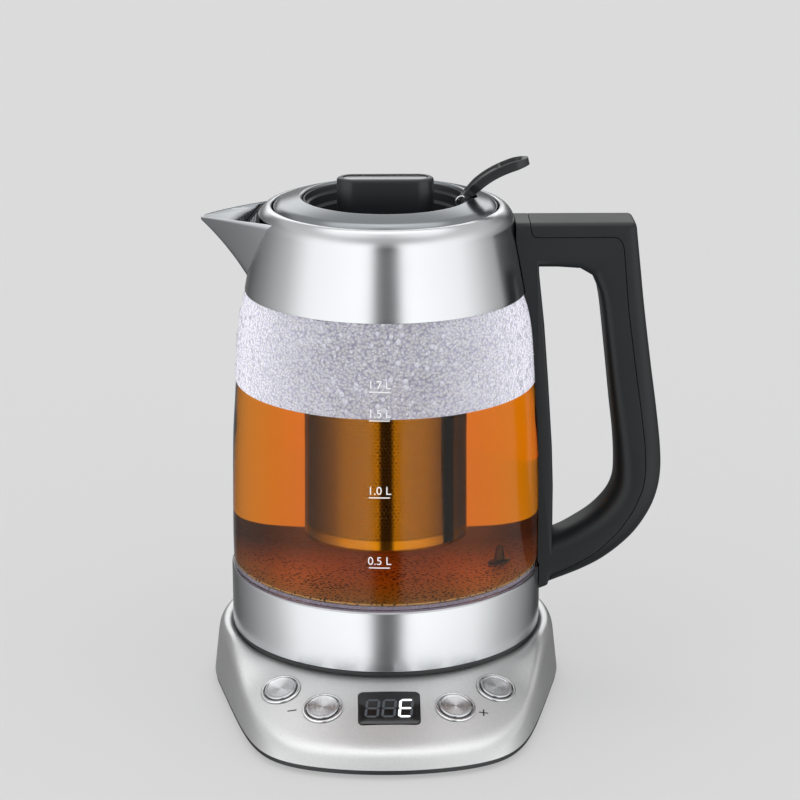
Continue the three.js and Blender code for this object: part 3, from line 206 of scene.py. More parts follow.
def carve(piece, grid, how="DIFFERENCE", sharp=32):
    tool = newObject("tool", meshFrom("tool", [grid], origins[piece.name]))
    change = piece.modifiers.new("carve", "BOOLEAN")
    change.object, change.operation, change.solver = tool, how, "MANIFOLD"
    graph = bpy.context.evaluated_depsgraph_get()
    result = bpy.data.meshes.new_from_object(piece.evaluated_get(graph))
    piece.modifiers.clear()
    piece.data = result
    smooth(result, sharp)
    old = tool.data
    bpy.data.objects.remove(tool)
    bpy.data.meshes.remove(old)


# Materials. One function adds a node; a node given as an input stands for its first output in use, and a
# setting given as a word is the operation
colours = {"data_type": "RGBA"}


def linear(code, gain=1.0):
    s = np.array([int(code[i:i + 2], 16) for i in (1, 3, 5)]) / 255
    value = gain * np.where(s <= 0.04045, s / 12.92, ((s + 0.055) / 1.055) ** 2.4)
    return (*value.tolist(), 1.0)


def addNode(tree, kind, inputs=(), settings=()):
    made = tree.nodes.new("ShaderNode" + kind)
    for key, value in dict({"operation": settings} if isinstance(settings, str) else settings).items():
        setattr(made, key, value)
    for key, value in inputs.items() if isinstance(inputs, dict) else enumerate(inputs):
        if isinstance(value, bpy.types.Node):
            value = next(o for o in value.outputs if o.enabled)
        if isinstance(value, bpy.types.NodeSocket):
            tree.links.new(value, made.inputs[key])
        else:
            made.inputs[key].default_value = value
    return made


def newMaterial(name):
    material = bpy.data.materials.new(name)
    material.use_nodes = True
    material.node_tree.nodes.clear()
    return material, material.node_tree


def surface(material, tone=None, rough=None, relief=None, volume=None, **inputs):
    # A pattern's value blends two colours (tone) or two roughnesses (rough), or is a height with a strength and a
    # distance in metres (relief). An underscore in an input's name stands for a space
    tree = material.node_tree
    if tone:
        inputs["Base Color"] = addNode(tree, "Mix", dict(zip(("Factor", "A", "B"), tone)), colours)
    if rough:
        inputs["Roughness"] = addNode(tree, "MapRange", dict(zip(("Value", "To Min", "To Max"), rough)))
    if relief:
        inputs["Normal"] = addNode(tree, "Bump", dict(zip(("Height", "Strength", "Distance"), relief)))
    shader = addNode(tree, "BsdfPrincipled", {key.replace("_", " "): value for key, value in inputs.items()})
    addNode(tree, "OutputMaterial", {"Surface": shader, "Volume": volume} if volume else {"Surface": shader})
    return material


def place(tree, scale, uv=False):
    # pattern coordinates in 1/mm: a scale of 1 repeats a pattern every millimetre
    source = addNode(tree, "UVMap") if uv else addNode(tree, "TexCoord").outputs["Object"]
    unit = 100 if uv else 1000
    return addNode(tree, "Mapping", {"Vector": source, "Scale": (unit * np.broadcast_to(scale, 3)).tolist()})


def pattern(tree, kind, scale, settings=(), uv=False, **inputs):
    return addNode(tree, "Tex" + kind, {"Vector": place(tree, scale, uv), "Scale": 1, **inputs}, settings)


def brushedSteel(name, code, roughness, uv=True, anisotropic=0.55):
    # stainless steel sheet, brushed with a belt: fine lines along u, 0.14 mm apart, that stretch a highlight
    material, tree = newMaterial(name)
    lines = pattern(tree, "Noise", (0.012, 7, 1) if uv else (0.012, 0.012, 7), uv=uv, Detail=3)
    cloud = pattern(tree, "Noise", 0.03, uv=uv)
    mixed = addNode(tree, "Math", [cloud, 0.06, roughness - 0.06], "MULTIPLY_ADD")
    rough = addNode(tree, "Math", [lines, 0.03, mixed], "MULTIPLY_ADD")
    along = {"Tangent": addNode(tree, "Tangent", (), {"direction_type": "UV_MAP"})} if uv else {}
    return surface(material, Metallic=1.0, Roughness=rough, Anisotropic=anisotropic, Anisotropic_Rotation=0.25,
                   tone=(lines, linear(code), linear(code, 0.96)), relief=(lines, 0.003, 0.0002), **along)


def spunSteel(name, code, roughness, centre, out):
    # turned button face: rings 0.35 mm apart round the button's own middle, which give the crossed highlight
    material, tree = newMaterial(name)
    away = addNode(tree, "VectorMath", [addNode(tree, "TexCoord").outputs["Object"], centre], "SUBTRACT")
    depth = addNode(tree, "VectorMath", [away, out], "DOT_PRODUCT")
    along = addNode(tree, "VectorMath", {0: out, "Scale": depth}, "SCALE")
    flat = addNode(tree, "VectorMath", [away, along], "SUBTRACT")
    radius = addNode(tree, "VectorMath", [flat], "LENGTH")
    turns = addNode(tree, "Math", [radius, 2900.0], "MULTIPLY")
    rings = addNode(tree, "TexNoise", {"W": turns, "Scale": 1, "Detail": 2}, {"noise_dimensions": "1D"})
    # the spin direction turns with the surface, so the highlight fans out from the middle
    around = addNode(tree, "VectorMath", [out, flat], "CROSS_PRODUCT")
    unit = addNode(tree, "VectorMath", [around], "NORMALIZE")
    return surface(material, Metallic=1.0, Base_Color=linear(code), Anisotropic=0.9, Anisotropic_Rotation=0.25,
                   Tangent=unit, rough=(rings, roughness - 0.06, roughness + 0.06), relief=(rings, 0.03, 0.0002))


def mouldedPlastic(name, code, roughness, grit=0.35, bump=0.12, worn=0.12, ior=1.5, coat=0.0):
    # injection-moulded ABS or PP: eroded grain of about a third of a millimetre, slightly polished by hands
    material, tree = newMaterial(name)
    grain = pattern(tree, "Noise", 1 / grit, Detail=2)
    cloud = pattern(tree, "Noise", 0.04, Detail=3)
    return surface(material, IOR=ior, Coat_Weight=coat, Coat_Roughness=0.2,
                   tone=(cloud, linear(code, 1 - worn), linear(code, 1 + worn)),
                   rough=(cloud, roughness - 0.06, roughness + 0.06), relief=(grain, bump, 0.0001))


def silverLacquer(name):
    # satin silver lacquer with metal flake over a moulded housing: flakes of 0.25 mm break up a soft highlight
    material, tree = newMaterial(name)
    flake = pattern(tree, "Voronoi", 4)
    cloud = pattern(tree, "Noise", 0.02, Detail=2)
    return surface(material, Metallic=0.78, Coat_Weight=0.2, Coat_Roughness=0.25,
                   tone=(flake.outputs["Color"], linear("#d3d4d5"), linear("#e6e6e6")), rough=(cloud, 0.3, 0.38),
                   relief=(flake, 0.04, 0.0001))


def clearGlass(name):
    # borosilicate jug glass, blown and polished: clear with a faint long wave in its surface
    material, tree = newMaterial(name)
    wave = pattern(tree, "Noise", (0.03, 0.03, 0.02))
    return surface(material, Base_Color=linear("#fafdfd"), Transmission_Weight=1.0, Roughness=0.0, IOR=1.35,
                   Specular_Tint=linear("#888888"), relief=(wave, 0.05, 0.001))


def blackTea(name):
    # brewed tea: clear liquid that takes the blue and green out of light over a few centimetres
    material, tree = newMaterial(name)
    deep = addNode(tree, "VolumeAbsorption", {"Color": (0.9985, 0.83, 0.15, 1), "Density": 70.0})
    swirl = pattern(tree, "Noise", 0.05)
    return surface(material, volume=deep, Base_Color=linear("#fffaf0"), Transmission_Weight=1.0, Roughness=0.0,
                   IOR=1.333, Specular_Tint=linear("#888888"), relief=(swirl, 0.05, 0.001))


def perforatedSteel(name, pitch=1.6):
    # stainless sheet, etched with rows of round holes 1.6 mm apart, drawn twice as coarse as they are; rows
    # are staggered by half a step, a dark ring round each hole is painted shade, and the alpha opens its middle
    material, tree = newMaterial(name)
    across, down = addNode(tree, "SeparateXYZ", [place(tree, (1 / pitch, 1 / pitch, 1), True)]).outputs[:2]
    row = addNode(tree, "Math", [down], "FLOOR")
    odd = addNode(tree, "Math", [row, 0.5], "MULTIPLY")
    slid = addNode(tree, "Math", [across, odd], "ADD")
    shared = []
    for value in (slid, down):
        within = addNode(tree, "Math", [value], "FRACT")
        shared.append(addNode(tree, "Math", [within, 0.5], "SUBTRACT"))
    away = addNode(tree, "VectorMath", [addNode(tree, "CombineXYZ", shared)], "LENGTH")
    solid = addNode(tree, "Math", [away, 0.16], "GREATER_THAN")
    # painted shade: the sheet goes to near black in a ring round each hole
    holeShadeMask = addNode(tree, "MapRange", {"Value": away, "From Min": 0.27, "From Max": 0.35})
    return surface(material, Metallic=1.0, Roughness=0.07, Alpha=solid,
                   tone=(holeShadeMask, linear("#080604"), linear("#948c80")))


def filterCloth(name, pitch=1.3):
    # woven nylon: threads 1.3 mm apart, drawn twice as coarse as they are, open between them
    material, tree = newMaterial(name)
    threads = []
    for along in addNode(tree, "SeparateXYZ", [place(tree, 1 / pitch)]).outputs[1:]:
        threads.append(addNode(tree, "Math", [addNode(tree, "Math", [along], "FRACT"), 0.45], "LESS_THAN"))
    solid = addNode(tree, "Math", threads, "MAXIMUM")
    return surface(material, Base_Color=linear("#7d8285"), Roughness=0.45, Alpha=solid)


def bubbledFloor(name):
    # heated stainless floor under water: matt with age, dotted with steam bubbles of half a millimetre to two;
    # its tone runs from dark violet at the back to pale orange at the front
    material, tree = newMaterial(name)
    spots = pattern(tree, "Voronoi", 0.55)
    zone = pattern(tree, "Noise", 0.035, Detail=2)
    size = addNode(tree, "MapRange", {"Value": zone, "To Min": 0.0, "To Max": 0.62})
    near = addNode(tree, "Math", [spots, size], "LESS_THAN")
    where = addNode(tree, "SeparateXYZ", [addNode(tree, "TexCoord").outputs["Object"]])
    front = addNode(tree, "MapRange", {
        "Value": where.outputs[1], "From Min": (axisY + 40) / 1000, "From Max": (axisY - 30) / 1000},
        {"interpolation_type": "SMOOTHSTEP"})
    backToFrontTone = addNode(tree, "Mix", {"Factor": front, "A": linear("#4c2a3c"), "B": linear("#ffc478")}, colours)
    return surface(material, Metallic=0.3, Roughness=0.5, tone=(near, backToFrontTone, linear("#24120c")),
                   relief=(spots, 0.3, 0.0004))


def clearSilicone(name):
    # cast silicone: milky, faintly violet between glass and steel
    material, tree = newMaterial(name)
    grain = pattern(tree, "Noise", 0.4)
    return surface(material, Base_Color=linear("#d6c3da"), Transmission_Weight=0.35, Roughness=0.25, IOR=1.41,
                   relief=(grain, 0.2, 0.0003))


def circuitBoard(name):
    # glass-epoxy board under green solder resist, with copper lands every 2.54 mm
    material, tree = newMaterial(name)
    lands = pattern(tree, "Voronoi", 1 / 2.54, {"distance": "CHEBYCHEV"}, Randomness=0.2)
    copper = addNode(tree, "Math", [lands, 0.12], "LESS_THAN")
    return surface(material, Roughness=0.45, Coat_Weight=0.3, tone=(copper, linear("#1f5a36"), linear("#b98a4a")))


def castMetal(name, code, roughness):
    # pressed or cast metal with a fine bead-blasted surface
    material, tree = newMaterial(name)
    grain = pattern(tree, "Noise", 2, Detail=2)
    return surface(material, Metallic=1.0, Base_Color=linear(code),
                   rough=(grain, roughness - 0.07, roughness + 0.07), relief=(grain, 0.06, 0.0001))


def printedInk(name, code, glow=0.0):
    # screen-printed ink or a lit display segment, with the fine speckle of the print; a glow lights a segment, and on
    # print it is painted light
    material, tree = newMaterial(name)
    speckle = pattern(tree, "Noise", 3)
    lit = dict(Emission_Color=linear(code), Emission_Strength=glow) if glow else {}
    return surface(material, Roughness=0.5, tone=(speckle, linear(code), linear(code, 0.93)), **lit)


def dewDrops(name):
    # condensed water: clear drops with the milky scatter of the fog between them
    material, tree = newMaterial(name)
    fine = pattern(tree, "Noise", 1.2)
    return surface(material, Base_Color=linear("#f4f4fc"), Transmission_Weight=0.35, Roughness=0.06, IOR=1.333,
                   relief=(fine, 0.3, 0.0003))


def fogFilm(name):
    # film of fine condensation: droplets of 1 to 2 mm drawn as cells, white in the middle and grey where two meet, the
    # grey being painted shade at the drops' edges
    material, tree = newMaterial(name)
    cells = pattern(tree, "Voronoi", 0.7, {"feature": "SMOOTH_F1"}, Smoothness=0.1)
    cloud = pattern(tree, "Noise", 0.05, Detail=3)
    # painted shade: each cell turns grey towards its edge, where two drops meet
    seam = addNode(tree, "MapRange", {"Value": cells, "To Min": -0.2, "To Max": 1.2})
    slant = addNode(tree, "LayerWeight", {"Blend": 0.45}).outputs["Facing"]
    thick = addNode(tree, "MapRange", {
        "Value": slant, "From Min": 0.0, "From Max": 0.5, "To Min": -0.22, "To Max": 0.12})
    cloudy = addNode(tree, "MapRange", {"Value": cloud, "To Min": 0.65, "To Max": 1.0})
    cover = addNode(tree, "Math", [cloudy, thick], "ADD")
    # a weak glow stands in for the light that the drops pass on from behind, most of it at a slant
    glow = addNode(tree, "MapRange", {
        "Value": slant, "From Min": 0.04, "From Max": 0.6, "To Min": 0.0, "To Max": 0.56})
    return surface(material, Roughness=0.1, IOR=2.1, Sheen_Weight=0.6, Sheen_Roughness=0.4, Alpha=cover,
                   Emission_Color=linear("#e9e6f5"), Emission_Strength=glow,
                   tone=(seam, linear("#ffffff"), linear("#bdbbd4")), relief=(cells, 1.0, -0.0016))


steel = brushedSteel("brushed_stainless_sheet", "#d2d4d6", 0.27)
spoutSteel = brushedSteel("polished_stainless_sheet", "#c6c9cc", 0.2, uv=False, anisotropic=0.0)
# a darker copy of the collar's stainless steel for the lid ring and the grip plate: the darkening is painted shade
shadedSteel = brushedSteel("lid_stainless_painted_shade", "#8f9396", 0.22)
floorSteel = bubbledFloor("vessel_floor_stainless")
lacquer = silverLacquer("satin_silver_lacquer")
charcoal = mouldedPlastic("charcoal_moulded_abs", "#181c1e", 0.42, ior=1.4)
gripPlastic = mouldedPlastic("grip_moulded_abs", "#1b1f21", 0.34)
black = mouldedPlastic("black_moulded_pp", "#1f2124", 0.4, worn=0.2)
greyPlastic = mouldedPlastic("grey_moulded_abs", "#8e9194", 0.4)
glossBlack = mouldedPlastic("gloss_black_acrylic", "#0b0c0e", 0.1, bump=0.01, coat=0.3)
contactBlack = mouldedPlastic("matt_black_phenolic", "#101113", 0.45, bump=0.05, ior=1.15)
chrome = castMetal("bright_nickel_plate", "#e4e5e6", 0.14)
brass = castMetal("spring_brass", "#c9a35a", 0.3)
aluminium = castMetal("cast_aluminium", "#9fa2a4", 0.45)
# vulcanised rubber: dull, with a dusty grain of half a millimetre
darkRubber = mouldedPlastic("dark_rubber", "#232426", 0.75, grit=0.5, bump=0.25, worn=0.2)
silicone = clearSilicone("clear_silicone")
board = circuitBoard("green_circuit_board")
glass = clearGlass("borosilicate_glass")
tea = blackTea("brewed_tea")
mesh = perforatedSteel("perforated_stainless")
bandSteel = brushedSteel("basket_band_stainless", "#b4ae9e", 0.1)
# the white scale print glows faintly: painted light that brightens it
whiteInk = printedInk("white_enamel_print_painted_glow", "#f4f4f6", 0.12)
darkInk = printedInk("dark_pad_print", "#2a2c2e")
litSegment = printedInk("lit_segment", "#f3f6fb", 1.2)
dimSegment = printedInk("dim_segment", "#4a4f55", 0.1)
dew = dewDrops("condensed_drops")
cloth = filterCloth("nylon_filter_cloth")
fog = fogFilm("condensed_film")
print("materials ready")


# Jug

jug = dict(
    glass=[(73.1, 32.3), (73.2, 52.4), (72.5, 92.5), (71.1, 115.2), (69.2, 144.6), (67.2, 158), (64.7, 166)],
    neck=(63.2, 174), glassWall=2.8,
    collar=[(65.75, 166.1), (63.1, 180.6), (60.3, 195.5), (59.76, 199.6), (58.13, 203), (55.53, 205.4),
            (53.4, 205.95)],
    collarWall=0.8, liquid=122.6,
)
glassOuter = np.vstack([spline(jug["glass"], 10), jug["neck"]])
glassProfile = rounded(np.vstack([glassOuter, offset(glassOuter, jug["glassWall"])[::-1]]), 0.5, 3)
addPiece("glass_wall", [turned(glassProfile, 200)], "jug", glass, "glass_body", 50)

collarOuter = np.vstack([spline(jug["collar"], 6), (52.8, 205.5), (52.8, 202.4)])
collarProfile = rounded(np.vstack([collarOuter, offset(collarOuter, jug["collarWall"])[::-1]]), 0.3, 3)
collar = addPiece("steel_collar", [turned(collarProfile, 220)], "jug", steel, "collar")

# Spout: for each station s from tip to root the keel, the rim and the rim's half width are quadratic bows,
# and the side is height = keel + (rim - keel) |v|^1.35 for v from -1 to 1
spout = dict(reach=11.3, wall=0.8, vee=1.35)


def bow(start, middle, end, s):
    return (1 - s) ** 2 * start + 2 * s * (1 - s) * middle + s**2 * end


def spoutBody(grow, first=0.0, lift=0.3, stations=28, across=33):
    s = np.linspace(first, 1, stations)
    v = np.linspace(-1, 1, across)
    tip = -74 - spout["reach"]
    keelX, keelZ = bow(tip, -71.8, -62, s), bow(198.8, 185.5, 167.5, s)
    rimX, rimY, rimZ = bow(tip, -72, -48, s), bow(1.6, 14.5, 29.5, s), bow(200.2, 201.8, 201.8, s)
    rings = []
    for k in range(stations):
        rise = np.abs(v) ** spout["vee"]
        side = np.stack([rimY[k] * v, keelZ[k] + (rimZ[k] - keelZ[k]) * rise], 1)
        side = offset(side, -grow)
        side[[0, -1], 1] = rimZ[k]
        x = keelX[k] + (rimX[k] - keelX[k]) * rise
        body = np.column_stack([x, side])
        top = np.array([[rimX[k], side[-1, 0], rimZ[k] + lift], [rimX[k], side[0, 0], rimZ[k] + lift]])
        rings.append(np.vstack([body, top, body[:1]]))
    return capped(np.array(rings))


inner = offset(collarOuter[:-2], jug["collarWall"])
core = np.vstack([[0, 120], [inner[0][0], 120], inner, [0, 207]])
spoutPiece = addPiece("steel_spout", [spoutBody(0)], "jug", spoutSteel, "spout")
carve(spoutPiece, spoutBody(-spout["wall"], 0.05, 4))
carve(spoutPiece, turned(core, 160))
carve(collar, spoutBody(0.55, 0, 0.3))

# Filter in the spout's mouth: a frame that leans 45 degrees from the keel up to the root, with cloth in its window.
# Its half width grows with height b as b^0.74, as the spout's own section does
strain = dict(keel=(-72.0, 0.0, 186.9), height=20.3, half=21.4, thick=1.0, window=0.66, middle=12.8)


def leaning(grid):
    slant = np.sqrt(0.5)
    axes = np.array([[0, 1, 0], [slant, 0, slant], [slant, 0, -slant]])
    return grid @ axes + strain["keel"]


climb = np.linspace(0, 1, 14)
filterHalf = strain["half"] * climb**0.74
filterEdge = np.vstack([np.column_stack([filterHalf, climb * strain["height"]]),
                        np.column_stack([-filterHalf, climb * strain["height"]])[:0:-1], [0, 0]])
windowEdge = (filterEdge - [0, strain["middle"]]) * strain["window"] + [0, strain["middle"]]
half = strain["thick"] / 2
strainFrame = addPiece("filter_frame", [leaning(slab(filterEdge, -half, half, 0.2, 0.2))], "jug",
                       contactBlack)
carve(strainFrame, leaning(slab(windowEdge, -2, 2, 0, 0, 2)))
addPiece("filter_cloth", [leaning(slab(windowEdge * [1.04, 1], -0.1, 0.1, 0, 0, 2))], "jug",
         cloth)

band = rounded([(73.2, 2.9), (74, 2.9), (74, 31.2), (73.3, 32), (72.9, 31.6), (73.2, 31.0)], 0.3, 4)
addPiece("steel_band", [turned(band, 220)], "jug", steel, "lower_band")
foot = rounded([(24.1, 5.5), (60.5, 5.5), (60.5, 0), (72.2, 0), (73.8, 1.0), (73.8, 2.7), (72.9, 2.7), (72.9, 29.7),
                (70.5, 29.7), (70.5, 8), (24.1, 8)], 0.5, 4)
addPiece("jug_foot", [turned(foot, 200)], "jug", black, "jug_underside")


# the seal's ribs are a cosine round the jug on its upper, narrower part
def sealRibs(z, a):
    return np.where(z > 32.1, -0.6 * (0.5 + 0.5 * np.cos(150 * a)), 0.0)


sealProfile = rounded([(64.5, 30), (72.6, 30), (72.6, 32), (70.1, 32), (70.1, 33.7), (64.5, 33.7)], 0.25, 3)
addPiece("ribbed_seal", [turned(sealProfile, 1200, wave=sealRibs)], "jug", silicone, "glass_seal")
plate = rounded([(0, 34.0), (69.6, 34.0), (69.6, 35.0), (66, 35.2), (30, 34.9), (0, 34.9)], 0.3, 3, False)
addPiece("vessel_floor", [turned(plate, 160)], "jug", floorSteel, "heater_plate")
pin = rounded([(0, 29.2), (2, 29.2), (2, 35.5), (4.6, 35.5), (4.4, 36.3), (2.2, 36.8), (1.3, 43.2), (0, 43.7)], 0.3, 3,
              False)
addPiece("floor_sensor", [turned(pin, 40) + [42, -6, 0]], "jug", castMetal(
    "sensor_steel", "#4b4440", 0.35), "temperature_sensor")
print("jug shell ready")


# Tea, condensation and printed scale

def wallRadius(z, inset):
    path = offset(glassOuter, inset)
    return np.interp(z, path[:, 1], path[:, 0])


level = jug["liquid"]
heights = np.linspace(34.5, level, 30)
wet = np.column_stack([wallRadius(heights, jug["glassWall"] - 0.08), heights])
teaProfile = np.vstack([[0, 34.5], wet, [wet[-1, 0] - 1.6, level - 0.35], [wet[-1, 0] - 4, level - 0.5],
                        [0, level - 0.5]])
addPiece("tea", [turned(teaProfile, 160)], "jug", tea, None, 60)

filmHeights = np.linspace(level + 0.6, 166, 16)
# film and drops are drawn on the wall's outer face, where the light reaches them
film = np.column_stack([wallRadius(filmHeights, -0.1), filmHeights])
filmLoop = np.vstack([film, offset(film, 0.05)[::-1], film[:1]])
addPiece("condensed_film", [turned(filmLoop, 180)], "jug", fog, None, 60)

drops = dict(count=2600, small=0.35, large=1.3, mostSmall=6, seed=7)
rng = np.random.default_rng(drops["seed"])
dropAngle = rng.uniform(0, 2 * pi, drops["count"])
dropZ = rng.uniform(level + 1, 168, drops["count"])
dropSize = drops["small"] + (drops["large"] - drops["small"]) * rng.random(drops["count"]) ** drops["mostSmall"]
# each drop is a flattened dome: rings of 7 points at 3 latitudes and a pole, closed below by its middle
lat, lon = np.meshgrid(np.linspace(0, pi / 2, 4), np.linspace(0, 2 * pi, 8), indexing="ij")
dome = np.stack([np.cos(lat) * np.cos(lon), np.cos(lat) * np.sin(lon), 0.55 * np.sin(lat)], -1)
dome = np.concatenate([dome[:1] * 0, dome])
wallR = wallRadius(dropZ, -0.1)
outX, outY = np.cos(dropAngle), np.sin(dropAngle)
centres = np.stack([wallR * outX, wallR * outY, dropZ], 1)
sideways = np.stack([-outY, outX, 0 * outX], 1)
outward = np.stack([outX, outY, 0 * outX], 1)
up = np.array([0, 0, 1.15])
domes = (centres[:, None, None] + dropSize[:, None, None, None] * (
    dome[None, ..., 0:1] * sideways[:, None, None] + dome[None, ..., 1:2] * up + dome[None, ..., 2:3]
    * outward[:, None, None]))
addPiece("condensed_drops", list(domes), "jug", dew, None, 80)


def raisedText(words, size, extrude):
    curve = bpy.data.curves.new("text", "FONT")
    curve.body, curve.size, curve.extrude, curve.align_x = words, size, extrude, "CENTER"
    made = newObject("text", curve)
    graph = bpy.context.evaluated_depsgraph_get()
    result = bpy.data.meshes.new_from_object(made.evaluated_get(graph))
    bpy.data.objects.remove(made)
    points = np.empty(len(result.vertices) * 3)
    result.vertices.foreach_get("co", points)
    faces = [tuple(p.vertices) for p in result.polygons]
    bpy.data.meshes.remove(result)
    return points.reshape(-1, 3), faces


# the scale's figures and strokes are wrapped round the glass: x becomes an arc, z stays a height
scale = dict(across=-4.0, size=5.4, thick=0.03, marks={"1.7 L": 135.8, "1.5 L": 122.7, "1.0 L": 87.1, "0.5 L": 53.7},
             stroke=9.6, strokeThick=0.5)
points, faces = [], []
for words, height in scale["marks"].items():
    flat, own = raisedText(words, scale["size"], scale["thick"])
    flat[:, 1] += height + 1.5
    count = 9
    x = np.linspace(-scale["stroke"] / 2, scale["stroke"] / 2, count)
    low, high = height - scale["strokeThick"] / 2, height + scale["strokeThick"] / 2
    ring = [(low, -1), (high, -1), (high, 1), (low, 1)]
    stroke = np.array([[(xi, y, s * scale["thick"]) for y, s in ring] for xi in x]).reshape(-1, 3)
    ownStroke = [(4 * i + j, 4 * i + (j + 1) % 4, 4 * i + 4 + (j + 1) % 4, 4 * i + 4 + j)
                 for i in range(count - 1) for j in range(4)]
    ownStroke += [(3, 2, 1, 0), tuple(4 * (count - 1) + j for j in range(4))]
    for piece, pieceFaces in ((flat, own), (stroke, ownStroke)):
        start = sum(len(p) for p in points)
        points.append(piece)
        faces += [tuple(start + i for i in f) for f in pieceFaces]
flat = np.vstack(points)
radius = wallRadius(flat[:, 1], 0) + 0.16 + flat[:, 2]
angle = -pi / 2 + (flat[:, 0] + scale["across"]) / 73
wrapped = np.stack([radius * np.cos(angle), radius * np.sin(angle), flat[:, 1]], 1)
marks = bpy.data.meshes.new("glass_scale")
marks.from_pydata(((wrapped + jugOrigin) / 1000).tolist(), [], faces)
merge(marks)
marksPiece = newObject("glass_scale", marks)
marks.materials.append(whiteInk)
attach(marksPiece, "jug")
print("tea, drops and scale ready")


# Handle: a grip swept round a D, a spine along the glass, cut into frame and cover along the seam

handle = dict(
    foot=19.3, rise=179.7, reach=57.03, width=27.0, edge=1.3, seam=0.35,
    grip=[(-.245, 1, -.245, .883, 7), (.105, 1, .105, .882, 7), (.42, 1, .28, .878, 7), (.733, 1, .385, .858, 7),
          (.776, .886, .442, .816, 6), (.82, .77, .472, .761, 5.5), (.888, .616, .524, .622, 5),
          (.942, .505, .563, .508, 4), (.986, .399, .598, .416, 3.5), (1, .324, .612, .338, 3),
          (.976, .263, .601, .288, 2.8), (.909, .206, .542, .246, 2.8), (.778, .143, .42, .204, 2.8),
          (.577, .086, .262, .169, 3), (.367, .048, .131, .146, 3.2), (.07, .011, -.07, .121, 3.6)],
    spine=[(-.28, .953), (-.058, .953), (-.054, .87), (-.005, .733), (.035, .58), (.075, .403), (.089, .293),
           (.092, .143), (.092, .06), (.063, .012), (-.035, 0), (-.28, 0)],
    seamLine=[(.063, -.1), (.063, .024), (.1, .04), (.245, .062), (.455, .101), (.647, .162), (.769, .223),
              (.839, .281), (.86, .332), (.846, .404), (.802, .508), (.748, .619), (.68, .77), (.629, .94),
              (.59, .964), (-.105, .964), (-.128, .985), (-.128, 1.1)],
)


def handlePoint(shares):
    shares = np.asarray(shares, float)
    return np.stack([74 + shares[..., 0] * handle["reach"], handle["foot"] + shares[..., 1] * handle["rise"]], -1)


# grip section: a superellipse |c|^(2/n), |s|^(2/n) between the inner and the outer edge of the D
def gripBody(steps=7, around=64):
    rows = np.array(handle["grip"])
    before, corner, after = rows[2], rows[3], rows[4]
    t = np.linspace(0, 1, 7)[:, None]
    bend = bow(corner + (before - corner) * 0.12, corner, corner + (after - corner) * 0.16, t)
    rows = np.vstack([rows[:3], bend, spline(rows[4:], steps)])
    outer, inner = handlePoint(rows[:, 0:2]), handlePoint(rows[:, 2:4])
    a = (np.arange(around + 1) + 0.5) * 2 * pi / around
    power = 2 / rows[:, 4:5]
    c, s = np.cos(a)[None], np.sin(a)[None]
    share = (np.sign(c) * np.abs(c) ** power + 1) / 2
    y = -np.sign(s) * np.abs(s) ** power * handle["width"] / 2
    x = inner[:, 0:1] * (1 - share) + outer[:, 0:1] * share
    z = inner[:, 1:2] * (1 - share) + outer[:, 1:2] * share
    return capped(np.stack([x, y, z], -1))


def seamBody(distance):
    line = offset(handlePoint(handle["seamLine"]), distance)
    line = rounded(line, 3.0, 4, False)
    far = np.vstack([line, [170, line[-1, 1]], [170, line[0, 1]]])
    closed = np.vstack([far, far[0]])
    return sideSlab(closed, 18, 0.0, 2)


def wholeHandle(name, replaced):
    piece = addPiece(name, [gripBody()], "jug", charcoal, replaced)
    outline = rounded(handlePoint(handle["spine"]), 1.5, 4)
    carve(piece, sideSlab(outline, handle["width"] / 2 - 0.05, handle["edge"], 5), "UNION")
    skin = np.vstack([[(0, -4), (74.3, -4), (74.3, 32.4)], glassOuter[1:-1] + [0.35, 0], collarOuter[:-2] + [0.35, 0],
                      [(0, 209)]])
    carve(piece, turned(skin, 180))
    return piece


frameHandle = wholeHandle("handle_body", "handle_frame")
carve(frameHandle, seamBody(handle["seam"] / 2), sharp=38)
coverHandle = wholeHandle("handle_strip", "handle_cover")
carve(coverHandle, seamBody(-handle["seam"] / 2), "INTERSECT", sharp=38)
print("handle ready")


# Lid with its black well, lever and strainer

ring = rounded([(38.4, 206.5), (38.4, 209.3), (39.5, 210), (49.6, 207.4), (52, 205.4), (52, 203.8), (51.2, 203.8),
                (51.2, 205.0), (49.2, 206.6), (39.6, 209.1), (39.2, 208.7), (39.2, 206.5)],
               [.2, .8, .8, 2.0, .8, .2, .2, .5, 1.5, .5, .3, .2], 6)
lidRing = addPiece("lid_steel_ring", [turned(ring[::-1], 220)], "lid", shadedSteel, "lid_ring")
notch = roundedPlate(18.0, 16.4, 8.0, 48)
carve(lidRing, slab(notch + [33.7, 0], 195, 215, 0, 0, 2))
wellProfile = rounded(
    [(30.6, 187), (35.8, 187), (35.8, 198.6), (42, 198.6), (42, 190), (44.1, 190), (44.1, 200.8), (51.1, 200.8),
     (51.1, 203.2), (38, 203.2), (38, 208.9), (37.2, 208.9), (36.9, 206.2), (35.5, 205.6), (35.3, 201.6),
     (33.7, 200.8), (33.7, 190), (30.6, 190)], 0.3, 4)
lidWell = addPiece("lid_black_well", [turned(wellProfile, 200)], "lid", black, "lid_well")
carve(lidWell, slab(roundedPlate(8.3, 11.6, 0.2, 16) + [37.85, 0], 205.7, 212, 0, 0, 2))
for side in (-1, 1):
    ear = rounded([(34.6, 203.2), (34.6, 208.4), (36.75, 210.8), (38.9, 208.4), (38.9, 203.2)], 1.0, 5)
    leaf = sideSlab(ear, 0.75, 0.2, 3) + [0, side * 6.55, 0]
    carve(lidWell, leaf, "UNION")

# Lever: sections across a bowed line from the pin to the tip. The width closes in a half ellipse at the
# tip, and the floor of the top recess sinks with a smooth step along the bow
lever = dict(width=11.0, thick=4.5, slimRoot=0.26, groove=0.9, recess=2.0, rim=1.2, root=(36.8, 208.3),
             bow=(46.0, 221.6), tip=(66.2, 226.0))


def partWay(value, start, length):
    return np.clip((value - start) / length, 0, 1)


